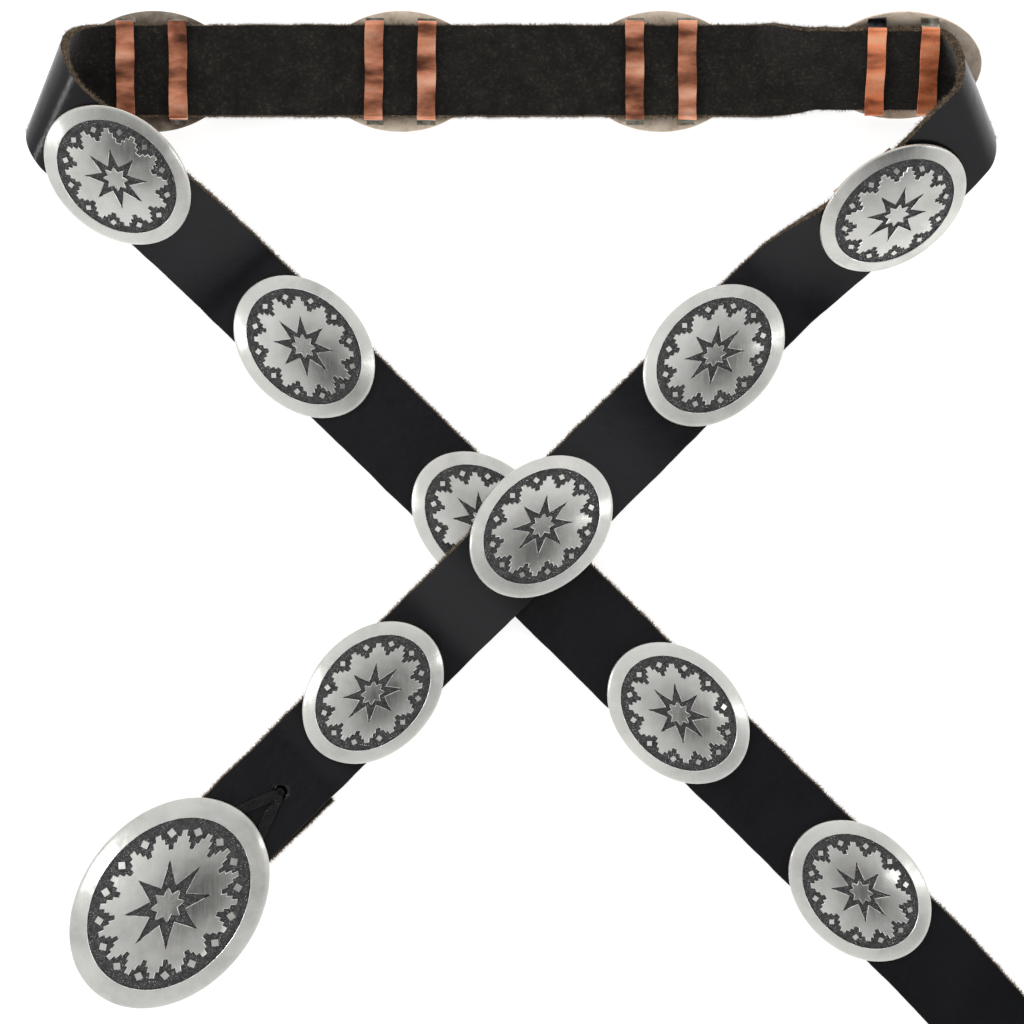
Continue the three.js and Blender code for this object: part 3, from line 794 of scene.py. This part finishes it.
# %% [markdown]
# ## Loose fibres on the cut edges
#
# The raw edges are fuzzy: short tan fibres stand out all along them. They repeat by the
# thousand over a surface, which is what Geometry Nodes are for. The tree scatters
# points over the faces that have the edge finish, stands a thin three sided fibre on
# each, turns and scales it at random, and turns the result to a plain mesh. Tips that
# would go into the surface below the belt are laid on it.

# %% The fibre tree
def new_tree(name, inputs):
    tree = bpy.data.node_groups.new(name, "GeometryNodeTree")
    tree.interface.new_socket("Geometry", in_out="INPUT", socket_type="NodeSocketGeometry")
    sockets = {}
    for label, kind, value in inputs:
        socket = tree.interface.new_socket(label, in_out="INPUT", socket_type=kind)
        if value is not None:
            socket.default_value = value
        sockets[label] = socket.identifier
    tree.interface.new_socket("Geometry", in_out="OUTPUT", socket_type="NodeSocketGeometry")
    return tree, sockets


def close_tree(tree, given, stand):
    """Make the instances real, give them the tree's finish and send them out."""
    real = add_node(tree, "GeometryNodeRealizeInstances")
    paint = add_node(tree, "GeometryNodeSetMaterial")
    wire(
        tree,
        (stand, "Instances", real, "Geometry"),
        (real, "Geometry", paint, "Geometry"),
        (given, "Finish", paint, "Material"),
        (paint, "Geometry", add_node(tree, "NodeGroupOutput"), "Geometry"),
    )


def scatter_tree(name):
    """Small cones scattered over the faces that have one finish."""
    tree, sockets = new_tree(name, [
        ("Over", "NodeSocketMaterial", None),
        ("Finish", "NodeSocketMaterial", None),
        ("Density", "NodeSocketFloat", 1000.0),
        ("Foot radius", "NodeSocketFloat", 0.0001),
        ("Length", "NodeSocketFloat", 0.0005),
        ("Sides", "NodeSocketInt", 3),
        ("Lean", "NodeSocketFloat", 0.5),
        ("Seed", "NodeSocketInt", 1),
    ])
    given = add_node(tree, "NodeGroupInput")
    chosen = add_node(tree, "GeometryNodeMaterialSelection")
    scatter = add_node(tree, "GeometryNodeDistributePointsOnFaces")
    cone = add_node(tree, "GeometryNodeMeshCone", {"Radius Top": 0.0}, fill_type="NGON")
    lean = add_node(tree, "FunctionNodeRandomValue", data_type="FLOAT_VECTOR")
    back_lean = add_node(tree, "ShaderNodeMath", {1: -1.0}, operation="MULTIPLY")
    to_rotation = add_node(tree, "FunctionNodeEulerToRotation")
    turn = add_node(tree, "FunctionNodeRotateRotation", rotation_space="LOCAL")
    size = add_node(tree, "FunctionNodeRandomValue", {2: 0.45, 3: 1.3}, data_type="FLOAT")
    stand = add_node(tree, "GeometryNodeInstanceOnPoints")
    wire(
        tree,
        (given, "Over", chosen, "Material"),
        (given, "Geometry", scatter, "Mesh"),
        (chosen, "Selection", scatter, "Selection"),
        (given, "Density", scatter, "Density"),
        (given, "Seed", scatter, "Seed"),
        (given, "Sides", cone, "Vertices"),
        (given, "Foot radius", cone, "Radius Bottom"),
        (given, "Length", cone, "Depth"),
        (given, "Lean", back_lean, 0),
        (back_lean, 0, lean, "Min"),
        (given, "Lean", lean, "Max"),
        (given, "Seed", lean, "Seed"),
        (lean, "Value", to_rotation, 0),
        (scatter, "Rotation", turn, "Rotation"),
        (to_rotation, 0, turn, "Rotate By"),
        (given, "Seed", size, "Seed"),
        (scatter, "Points", stand, "Points"),
        (cone, "Mesh", stand, "Instance"),
        (turn, "Rotation", stand, "Rotation"),
        (size, 1, stand, "Scale"),
    )
    close_tree(tree, given, stand)
    return tree, sockets


def scattered(mesh, tree, sockets, **values):
    carrier = placed("scatter_carrier", mesh)
    modifier = carrier.modifiers.new("scatter", "NODES")
    modifier.node_group = tree
    for label, value in values.items():
        modifier[sockets[label.replace("_", " ")]] = value
    result = evaluated_mesh(carrier)
    bpy.data.objects.remove(carrier)
    return result


small_cones, cone_sockets = scatter_tree("small_cones")
fibres = scattered(
    strap_piece.data, small_cones, cone_sockets, Over=leather_edge, Finish=leather_fuzz,
    Density=4600000.0, Foot_radius=0.0001, Length=0.0013, Sides=3, Lean=1.3, Seed=3,
)
fibres.transform(Matrix.Scale(1000, 4))
for vertex in fibres.vertices:
    vertex.co.z = max(vertex.co.z, 0.0)
add_piece("strap_fibres", fibres, slot="leather")
print("fibre faces:", len(fibres.polygons))

# %% [markdown]
# ## The overlay plates
#
# A concho is a domed oval. Its ornament is a general Southwestern one: a sunk band whose
# inner edge is a row of stepped teeth, small diamonds left standing in the band, and an
# eight pointed star round a raised middle. Every outline runs once round the centre, so
# the plate can be a stack of rings from the underside over the rim and inward. All rings
# have the same number of points, and each outline's corners fall on shared angles, so
# every step of the teeth stays sharp. A Boolean cut would leave ragged shading.

# %% Ring helpers
def star_corners(points, tip, valley):
    """A star's corners, each an angle and a radius as a share of the plate's."""
    return [(math.pi * k / points, tip if k % 2 == 0 else valley) for k in range(2 * points)]


def stepped_corners(teeth, valley, tip, half_widths):
    """Teeth that step outward from the valley radius to the tip radius and back."""
    pitch, riser = 2 * math.pi / teeth, 0.002
    levels = [valley + (tip - valley) * k / len(half_widths) for k in range(len(half_widths) + 1)]
    corners = []
    for tooth in range(teeth):
        middle = (tooth + 0.5) * pitch
        rising = []
        for k, half_width in enumerate(half_widths):
            step = -half_width * pitch
            rising += [(step - riser, levels[k]), (step + riser, levels[k + 1])]
        corners += [(middle + angle, radius) for angle, radius in rising]
        corners += [(middle - angle, radius) for angle, radius in reversed(rising)]
    return corners


def shared_angles(outlines, even_steps):
    """Every corner's angle, and an even row of angles between them."""
    angles = sorted({round(angle, 5) for corners in outlines for angle, radius in corners})
    for k in range(even_steps):
        even = 2 * math.pi * (k + 0.5) / even_steps
        if min(abs(even - angle) for angle in angles) > math.pi / even_steps:
            angles.append(even)
    return sorted(angles)


def traced(corners, angles):
    """Where the straight sides between an outline's corners are met at each angle."""
    around = corners + [(corners[0][0] + 2 * math.pi, corners[0][1])]
    found, side = [], 0
    for angle in angles:
        turned = angle if angle >= around[0][0] - 1e-4 else angle + 2 * math.pi
        side = next(k for k in range(len(corners)) if turned <= around[k + 1][0] + 1e-4)
        (first, near), (last, far) = around[side], around[side + 1]
        reach = near * math.sin(turned - first) + far * math.sin(last - turned)
        radius = near * far * math.sin(last - first) / reach
        found.append((radius * math.cos(angle), radius * math.sin(angle)))
    return found


def oval(radius, angles):
    return [(radius * math.cos(angle), radius * math.sin(angle)) for angle in angles]


def between(first, second, t):
    return [(a[0] + (b[0] - a[0]) * t, a[1] + (b[1] - a[1]) * t) for a, b in zip(first, second)]


def inset(outline, distance):
    """An outline moved inward, square to its sides. A negative distance moves it out."""
    points = np.array(outline)
    sides = np.roll(points, -1, axis=0) - points
    sides /= np.linalg.norm(sides, axis=1)[:, None]
    normals = np.stack([-sides[:, 1], sides[:, 0]], axis=1)
    both = normals + np.roll(normals, 1, axis=0)
    share = np.maximum(np.sum(both * normals, axis=1), 0.6)
    return [tuple(point) for point in points + both * (distance / share)[:, None]]


# %% [markdown]
# One function makes the concho's plate and the buckle's, because they differ only in
# size. Each sawn edge has a small bevel that catches the light, and its silver is painted
# brighter as a painted highlight, so it shows as a thin light line.

# %% The plate
SATIN, BLACK, BACK, CUT = 0, 1, 2, 3
plate_finishes = [silver_satin, silver_blackened, silver_back, silver_cut_painted_highlight]

# Radii as shares of the plate's own, and the widths of a tooth's steps as shares of the
# teeth's pitch. The bevel and the wall's foot are in millimetres.
under_radii, rim_radii, band_radius = (0.12, 0.35, 0.6, 0.8, 0.93), (0.95, 0.91, 0.87), 0.82
tooth_valley, tooth_tip, tooth_steps = 0.53, 0.7, (0.36, 0.22, 0.08)
star_points, star_tip, star_valley, middle_tip, middle_valley = 8, 0.44, 0.2, 0.17, 0.1
even_angles, star_rings = 132, 9
bevel, foot = 0.22, 0.26


def plate_parts(length, width, height, wall, teeth, seed):
    half_length, half_width = length / 2, width / 2
    sway = np.random.default_rng(seed).uniform(0, 6.28, 2)

    def dome(x, y):
        """The dome's height, a little uneven toward its rim, because it was formed by hand."""
        u, v = x / half_length, y / half_width
        share, angle = u * u + v * v, math.atan2(v, u)
        hand = 0.05 * math.sin(2 * angle + sway[0]) + 0.03 * math.sin(3 * angle + sway[1])
        return concho_edge + (height - concho_edge) * (1 - share) + hand * share

    def under(x, y):
        return (height - wall) * (1 - (x / half_length) ** 2 - (y / half_width) ** 2)

    tooth_corners = stepped_corners(teeth, tooth_valley, tooth_tip, tooth_steps)
    star_lines = star_corners(star_points, star_tip, star_valley)
    middle_lines = star_corners(star_points, middle_tip, middle_valley)
    angles = shared_angles([tooth_corners, star_lines], even_angles)

    def stretched(outline):
        return [(u * half_length, v * half_width) for u, v in outline]

    edge, band = stretched(oval(1.0, angles)), stretched(oval(band_radius, angles))
    tooth_line, star, middle = (
        stretched(traced(corners, angles)) for corners in (tooth_corners, star_lines, middle_lines)
    )
    rings, finishes = [], []

    def ring(outline, finish, surface=dome, offset=0.0):
        """A ring, and the finish of the face that leads to it."""
        rings.append([(x, y, surface(x, y) + offset) for x, y in outline])
        finishes.append(finish)

    def recess(outer, inner, shares):
        """A sunk, blackened floor from one outline to the next, with the walls round it."""
        ring(inset(outer, bevel), CUT, dome, -bevel)
        ring(inset(outer, foot), BLACK, dome, -recess_depth)
        for t in shares:
            ring(between(inset(outer, foot), inset(inner, -foot), t), BLACK, dome, -recess_depth)
        ring(inset(inner, -foot), BLACK, dome, -recess_depth)
        ring(inset(inner, -bevel), BLACK, dome, -bevel)
        ring(inner, CUT)

    for radius in under_radii:
        ring(stretched(oval(radius, angles)), BACK, under)
    ring(stretched(oval(0.99, angles)), BACK, under, 0.05)
    # Over the edge. Its upper corner is slightly rounded.
    ring(edge, BACK, dome, -0.75)
    ring(edge, BACK, dome, -0.3)
    ring(inset(edge, 0.1), SATIN, dome, -0.08)
    ring(inset(edge, 0.35), SATIN)
    for radius in rim_radii:
        ring(stretched(oval(radius, angles)), SATIN)
    ring(band, SATIN)
    recess(band, tooth_line, (0.33, 0.66))
    for step in range(1, star_rings):
        ring(between(tooth_line, star, step / star_rings), SATIN)
    ring(star, SATIN)
    recess(star, middle, (0.5,))
    ring(between(middle, stretched(oval(0.001, angles)), 0.5), SATIN)

    points, faces = loft(rings, closed_ends=False)
    count = len(angles)
    choice = [finishes[index // count + 1] for index in range(len(faces))]
    for height_here, row, finish in ((under(0, 0), 0, BACK), (dome(0, 0), len(rings) - 1, SATIN)):
        points.append((0, 0, height_here))
        for index in range(count):
            faces.append((row * count + index, row * count + (index + 1) % count, len(points) - 1))
            choice.append(finish)
    return points, faces, choice, dome, under


# %% [markdown]
# The diamonds stand in the band like islands. They repeat round the oval, so they are a
# second small Geometry Nodes tree: points on an oval, a four sided block on each, turned
# to face the centre.

# %% The diamond tree
diamond_height = recess_depth + 0.1


def diamond_tree():
    tree, sockets = new_tree("diamonds_round_an_oval", [
        ("Count", "NodeSocketInt", 12),
        ("Half length", "NodeSocketFloat", 20.0),
        ("Half width", "NodeSocketFloat", 15.0),
        ("Size", "NodeSocketFloat", 1.0),
        ("Start", "NodeSocketFloat", 0.0),
        ("Finish", "NodeSocketMaterial", None),
    ])
    block_size = {"Vertices": 4, "Radius Top": 0.8, "Radius Bottom": 1.0, "Depth": diamond_height}
    given = add_node(tree, "NodeGroupInput")
    circle = add_node(tree, "GeometryNodeMeshCircle", {"Radius": 1.0})
    start = add_node(tree, "ShaderNodeCombineXYZ")
    turned = add_node(tree, "GeometryNodeTransform")
    spread = add_node(tree, "ShaderNodeCombineXYZ", {"Z": 1.0})
    place = add_node(tree, "GeometryNodeTransform")
    block = add_node(tree, "GeometryNodeMeshCone", block_size, fill_type="NGON")
    where = add_node(tree, "GeometryNodeInputPosition")
    face = add_node(tree, "FunctionNodeAlignRotationToVector", axis="X")
    size = add_node(tree, "ShaderNodeCombineXYZ", {"Z": 1.0})
    stand = add_node(tree, "GeometryNodeInstanceOnPoints")
    wire(
        tree,
        (given, "Count", circle, "Vertices"),
        (given, "Start", start, "Z"),
        (circle, "Mesh", turned, "Geometry"),
        (start, "Vector", turned, "Rotation"),
        (given, "Half length", spread, "X"),
        (given, "Half width", spread, "Y"),
        (turned, "Geometry", place, "Geometry"),
        (spread, "Vector", place, "Scale"),
        (where, "Position", face, "Vector"),
        (given, "Size", size, "X"),
        (given, "Size", size, "Y"),
        (place, "Geometry", stand, "Points"),
        (block, "Mesh", stand, "Instance"),
        (face, "Rotation", stand, "Rotation"),
        (size, "Vector", stand, "Scale"),
    )
    close_tree(tree, given, stand)
    return tree, sockets


diamonds, diamond_sockets = diamond_tree()
print("trees:", small_cones.name, diamonds.name)

# %% [markdown]
# ## Copper loops and their solder
#
# Each loop is a strip of copper bent round the strap's back. It is a flat rectangle
# swept along a bent path, a little uneven because it was cut with shears and bent by
# hand. The last few millimetres at each end are flooded with grey solder.

# %% Swept strips
def rounded_path(corners, radius, steps=5):
    found = [Vector(corners[0])]
    for before, at, after in zip(corners, corners[1:], corners[2:]):
        before, at, after = Vector(before), Vector(at), Vector(after)
        reach = min(radius, (before - at).length * 0.45, (after - at).length * 0.45)
        start, end = at + (before - at).normalized() * reach, at + (after - at).normalized() * reach
        for step in range(steps + 1):
            t = step / steps
            found.append(start * (1 - t) ** 2 + at * 2 * t * (1 - t) + end * t * t)
    found.append(Vector(corners[-1]))
    dense = [found[0]]
    for before, after in zip(found, found[1:]):
        pieces = max(1, round((after - before).length / 1.5))
        dense += [before.lerp(after, k / pieces) for k in range(1, pieces + 1)]
    return dense


def swept_strip(path, width, thickness, width_axis, uneven, generator, bevel=0.12):
    """A strip with bevelled edges swept along a flat path. Slow waves make it uneven."""
    rings = []
    phase = generator.uniform(0, 6.28, 4)
    length = 0.0
    for index, at in enumerate(path):
        before, after = path[max(index - 1, 0)], path[min(index + 1, len(path) - 1)]
        length += (at - before).length
        along = (after - before).normalized()
        normal = width_axis.cross(along).normalized()
        edges = {
            1: width / 2 + uneven * math.sin(length * 0.33 + phase[0]),
            -1: width / 2 + uneven * math.sin(length * 0.27 + phase[1]),
        }
        lift = uneven * 0.7 * math.sin(length * 0.42 + phase[2])
        tilt = uneven * 0.6 * math.sin(length * 0.5 + phase[3])
        half, low = thickness / 2, thickness / 2 - bevel
        outline = [(1, 0, low), (1, bevel, half), (-1, bevel, half), (-1, 0, low)]
        outline += [(-1, 0, -low), (-1, bevel, -half), (1, bevel, -half), (1, 0, -low)]
        rings.append([
            at + width_axis * (side * (edges[side] - step_in)) + normal * (height + lift + tilt * side)
            for side, step_in, height in outline
        ])
    return loft(rings)


loop_bend, loop_uneven = 1.3, 0.13


def loop_parts(dome_under, x, seed):
    generator = np.random.default_rng(seed)
    inner = strap_width / 2 + loop_side_play
    middle = inner + loop_thickness / 2
    drop = strap_thickness + 2 * clearance + loop_slack + loop_thickness / 2
    near = abs(x) - loop_width / 2
    foot_level, wall_level = (
        dome_under(near, y) - loop_thickness / 2 + solder_depth for y in (middle + loop_foot, middle)
    )
    corners = [
        (x, middle + loop_foot, foot_level), (x, middle, wall_level), (x, middle, -drop),
        (x, -middle, -drop), (x, -middle, wall_level), (x, -middle - loop_foot, foot_level),
    ]
    bent = rounded_path(corners, loop_bend)
    points, faces = swept_strip(
        bent, loop_width, loop_thickness, Vector((1, 0, 0)), loop_uneven, generator
    )
    soldered = -drop + loop_bend + generator.uniform(-0.3, 0.5)
    choice = [int(sum(points[index].z for index in face) / len(face) > soldered) for face in faces]
    return points, faces, choice


# %% [markdown]
# ## Thirteen conchos
#
# The plate, its diamonds and the dots punched in its blackened ground are made once,
# lying flat. Each concho is a copy moved to its seat. The loops are made anew for each
# concho with another seed, because no two are bent alike.

# %% Plate with diamonds and dots
def joined(name, meshes):
    carriers = [placed(name, mesh) for mesh in meshes]
    with bpy.context.temp_override(
        active_object=carriers[0], selected_objects=carriers, selected_editable_objects=carriers
    ):
        bpy.ops.object.join()
    mesh = carriers[0].data
    bpy.data.objects.remove(carriers[0])
    return mesh


diamond_ring, diamond_share, dot_density = 0.69, 0.026, 1.6


def finished_plate(name, length, width, height, wall, teeth, seed):
    points, faces, choice, dome, under = plate_parts(length, width, height, wall, teeth, seed)
    plate = make_mesh(name, points, faces, plate_finishes, choice)
    blocks = scattered(
        bpy.data.meshes.new("empty"), diamonds, diamond_sockets, Count=teeth, Start=0.0,
        Half_length=diamond_ring * length / 2, Half_width=diamond_ring * width / 2,
        Size=diamond_share * length, Finish=silver_satin,
    )
    for vertex in blocks.vertices:
        vertex.co.z += dome(vertex.co.x, vertex.co.y) - diamond_height
    punched = scattered(
        plate, small_cones, cone_sockets, Over=silver_blackened, Finish=silver_dots,
        Density=dot_density, Foot_radius=0.2, Length=0.14, Sides=4, Lean=0.2, Seed=seed,
    )
    made = joined(name, [plate, blocks, punched])
    print(name, "faces:", len(made.polygons))
    return made, under


concho_plate, concho_under = finished_plate(
    "concho_plate", concho_length, concho_width, concho_height, concho_wall, teeth=12, seed=11
)


# %% Concho by concho
def frame_matrix(at, yaw, lift):
    face = at.face()
    side = face.cross(at.along)
    turn = Matrix((at.along, side, face)).transposed().to_4x4()
    place = Matrix.Translation(at.centre + face * lift + shift)
    return place @ turn @ Matrix.Rotation(math.radians(yaw), 4, "Z")


# The concho whose loops get the paler copper, painted light where the roll shades
# them, its loop with dark solder, and the plate with a dark back.
painted_light_loops, fire_dark, dark_back = "concho_05", ("concho_05", -1), "concho_08"
for number, name in enumerate(sorted(seats)):
    at, yaw = seats[name]
    lift = half_thickness + clearance + (loop_slack if at.face().z > 0 else 0)
    matrix = frame_matrix(at, yaw, lift)
    plate = concho_plate.copy()
    plate.name = name + "_plate"
    plate.transform(matrix)
    if name == dark_back:
        plate.materials[BACK] = silver_back_dark
    add_piece(name + "_plate", plate, name, slot="silver")
    loops = []
    for index, side in enumerate((-1, 1)):
        points, faces, choice = loop_parts(concho_under, side * loop_spacing / 2, 100 + 2 * number + index)
        end_finish = solder_dark if (name, side) == fire_dark else solder_bright
        strip_finish = copper_painted_light if name == painted_light_loops else copper_strip
        loops.append(make_mesh(name + "_loops", points, faces, [strip_finish, end_finish], choice))
    loop_mesh = joined(name + "_loops", loops)
    loop_mesh.transform(matrix)
    add_piece(name + "_loops", loop_mesh, name, slot="silver")
print("conchos:", len(seats))

# %% [markdown]
# ## The buckle
#
# The buckle is the same overlay work, larger, with a bar for the strap's end and a hook
# for the other end. Both are hidden under it and are plain.

# %% The buckle
buckle_plate, buckle_under = finished_plate(
    "buckle_plate", buckle_length, buckle_width, buckle_height, buckle_wall, teeth=16, seed=12
)
buckle_seat = upper_arm(buckle_distance, buckle_rim)
plate_turn = Matrix.Translation((0, buckle_shift, 0)) @ Matrix.Rotation(math.radians(buckle_yaw), 4, "Z")
buckle_plate.transform(frame_matrix(buckle_seat, 0, 0) @ plate_turn)
add_piece("buckle_plate", buckle_plate, "buckle", slot="silver")


def buckle_underside(x, y):
    place = Matrix.Rotation(-math.radians(buckle_yaw), 2) @ Vector((x, y - buckle_shift))
    return buckle_under(place.x, place.y)


random = np.random.default_rng(5)
solder_overlap = 0.4
bar_y = strap_width / 2 + loop_side_play + bar_thickness / 2
bar_z = bar_height - buckle_rim
bar_corners = [
    (-bar_offset, bar_y, buckle_underside(-bar_offset, bar_y) + solder_overlap),
    (-bar_offset, bar_y, bar_z),
    (-bar_offset, -bar_y, bar_z),
    (-bar_offset, -bar_y, buckle_underside(-bar_offset, -bar_y) + solder_overlap),
]
bar_path = rounded_path(bar_corners, radius=1.2)
bar = swept_strip(bar_path, bar_thickness, bar_thickness, Vector((1, 0, 0)), 0.0, random, bevel=0.5)
hook_x, hook_bottom = hook_offset + hook_thickness / 2, -buckle_rim + hook_thickness / 2
hook_corners = [
    (hook_x, 0, buckle_underside(hook_offset, 0) + solder_overlap),
    (hook_x, 0, hook_bottom),
    (hook_offset + hook_length, 0, hook_bottom),
]
hook_path = rounded_path(hook_corners, radius=2.0)
hook = swept_strip(hook_path, hook_width, hook_thickness, Vector((0, 1, 0)), 0.0, random, bevel=0.4)
fittings = joined("buckle_fittings", [
    make_mesh("part", points, faces, [silver_satin]) for points, faces in (bar, hook)
])
fittings.transform(frame_matrix(buckle_seat, 0, 0))
add_piece("buckle_fittings", fittings, "buckle", slot="silver")

# %% [markdown]
# ## The lace
#
# A thong comes up through the hole and goes under the buckle in two strands. Each strand
# is a flat rounded section swept along a short arch, with a slight twist, so that its
# gloss breaks up as it does on the real one.

# %% The lace
# Lengths in millimetres, and shares of the strand's run.
lace_start, hidden_run, arch_height, arch_end = -0.8, 5.0, 0.75, 0.8
mouth_sink, sink_end, narrow_mouth, narrow_end = 3.4, 0.09, 0.55, 0.16


def lace_strand(side, seed, steps=32, sides=12):
    generator = np.random.default_rng(seed)
    spread = math.radians(lace_spread) * side
    direction = Vector((math.cos(spread), math.sin(spread), 0))
    across = Vector((-direction.y, direction.x, 0))
    rings = []
    for step in range(steps + 1):
        t = step / steps
        run = lace_start + (lace_reach + hidden_run) * t
        arch = arch_height * math.sin(math.pi * t / arch_end) if t < arch_end else 0.0
        sink = -mouth_sink * max(0.0, 1 - t / sink_end)
        twist = 0.35 * math.sin(t * 7 + generator.uniform(-0.1, 0.1)) * (1 - t)
        narrowed = narrow_mouth + (1 - narrow_mouth) * min(1.0, t / narrow_end)
        wide = lace_width / 2 * narrowed * (1 + 0.04 * math.sin(t * 23 + seed))
        centre = direction * run + Vector((0, 0, clearance + lace_thickness / 2 + arch + sink))
        ring = []
        for k in range(sides):
            angle = 2 * math.pi * k / sides
            y = wide * math.copysign(abs(math.cos(angle)) ** 0.6, math.cos(angle))
            z = lace_thickness / 2 * math.copysign(abs(math.sin(angle)) ** 0.7, math.sin(angle))
            ring.append(
                centre + across * (y * math.cos(twist) - z * math.sin(twist))
                + Vector((0, 0, 1)) * (y * math.sin(twist) + z * math.cos(twist))
            )
        rings.append(ring)
    return loft(rings)


lace_parts = []
for side in (-1, 1):
    points, faces = lace_strand(side, 3 + side)
    lace_parts.append(make_mesh("strand", points, faces, [lace_black], crease=80))

# The thong fills the hole as a peg. Each ring has a radius, a place along the strap and
# a level. The top ones are narrower and lean toward the buckle.
peg_bottom = clearance - upper_layer - half_thickness
peg_rows = [(2.25, 0.0, peg_bottom), (2.25, 0.0, -2.4), (1.9, 0.3, -2.0), (1.7, 0.4, 0.2)]
peg_rings = [level_circle(Vector((x, 0, 0)), radius, level, count=16) for radius, x, level in peg_rows]
points, faces = loft(peg_rings)
lace_parts.append(make_mesh("peg", points, faces, [lace_black]))
lace_mesh = joined("lace_thong", lace_parts)
lace_mesh.transform(frame_matrix(lace_station(upper_layer + half_thickness), 0, 0))
add_piece("lace_thong", lace_mesh, "lace", slot="lace_leather")
print("lace faces:", len(lace_mesh.polygons))

# %% [markdown]
# ## Floor and light
#
# The photograph is a bright product shot on a glowing white surface that leaves almost
# no shadow, so the floor gives a little light of its own. The room is bright low down
# and dark overhead, where the middle of the dark leans a little to the right. That makes
# domed silver grey in its middle and brighter toward its rim, and keeps the flat leather
# black. A small softbox stands near on the left, for the streak on the rolled leather and
# the glint on the buckle. A tall strip on the right draws the streaks on the silver rims.

# %% Floor and light
floor_finish = Finish("white_surface", Roughness=0.9, Specular_IOR_Level=0.1, Emission_Strength=0.76)
floor_tone = floor_finish.ramp(floor_finish.noise(3, 2), (0.3, (0.54,)), (0.7, (0.56,)))
floor_finish.shader.inputs["Emission Color"].default_value = (1, 1, 0.995, 1)
floor_mesh = make_mesh(
    "white_surface", [(-3, -3, 0), (3, -3, 0), (3, 3, 0), (-3, 3, 0)], [(0, 1, 2, 3)],
    [floor_finish.set(Base_Color=floor_tone)],
)
floor = placed("white_surface", floor_mesh)
floor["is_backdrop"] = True

# Where the sky is darkest, and its brightness by half the distance from there.
dark_middle = (0.18, -0.13, 1.0)
sky_stops = [(0.0, 0.08), (0.08, 0.16), (0.15, 0.42), (0.25, 0.64), (0.36, 0.88), (0.5, 0.98)]
world = bpy.data.worlds.new("studio")
bpy.context.scene.world = world
world.use_nodes = True
studio = world.node_tree
background = studio.nodes["Background"]
direction = add_node(studio, "ShaderNodeTexCoord")
apart = add_node(studio, "ShaderNodeVectorMath", {1: dark_middle}, operation="DISTANCE")
halved = add_node(studio, "ShaderNodeMath", {1: 0.5}, operation="MULTIPLY")
sky = add_node(studio, "ShaderNodeValToRGB")
wire(
    studio,
    (direction, "Generated", apart, 0),
    (apart, "Value", halved, 0),
    (halved, 0, sky, "Fac"),
    (sky, "Color", background, "Color"),
)
for position, value in sky_stops[2:]:
    sky.color_ramp.elements.new(position)
for element, (position, value) in zip(sky.color_ramp.elements, sky_stops):
    element.position, element.color = position, (value, value, value, 1)
background.inputs["Strength"].default_value = 0.95


def soft_light(name, place, target, size, power):
    data = bpy.data.lights.new(name, "AREA")
    data.shape, data.size, data.size_y, data.energy = "RECTANGLE", size[0], size[1], power
    light = placed(name, data)
    light.location = place
    light.rotation_euler = (Vector(target) - Vector(place)).to_track_quat("-Z", "Y").to_euler()
    light.visible_camera = False


soft_light("left_softbox", (-0.6, 0.1, 0.4), (-0.16, 0.04, 0), (0.07, 0.03), 0.38)
soft_light("right_softbox", (0.85, 0.15, 0.76), (0, 0, 0), (0.05, 0.6), 0.5)
print("lights:", [light.name for light in bpy.data.lights])

# %% Sizes and triangle count
low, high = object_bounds()
print("visual box in m:", low[:], high[:])
total = sum(len(polygon.vertices) - 2 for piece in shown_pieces() for polygon in piece.data.polygons)
print("triangles in all pieces:", total)
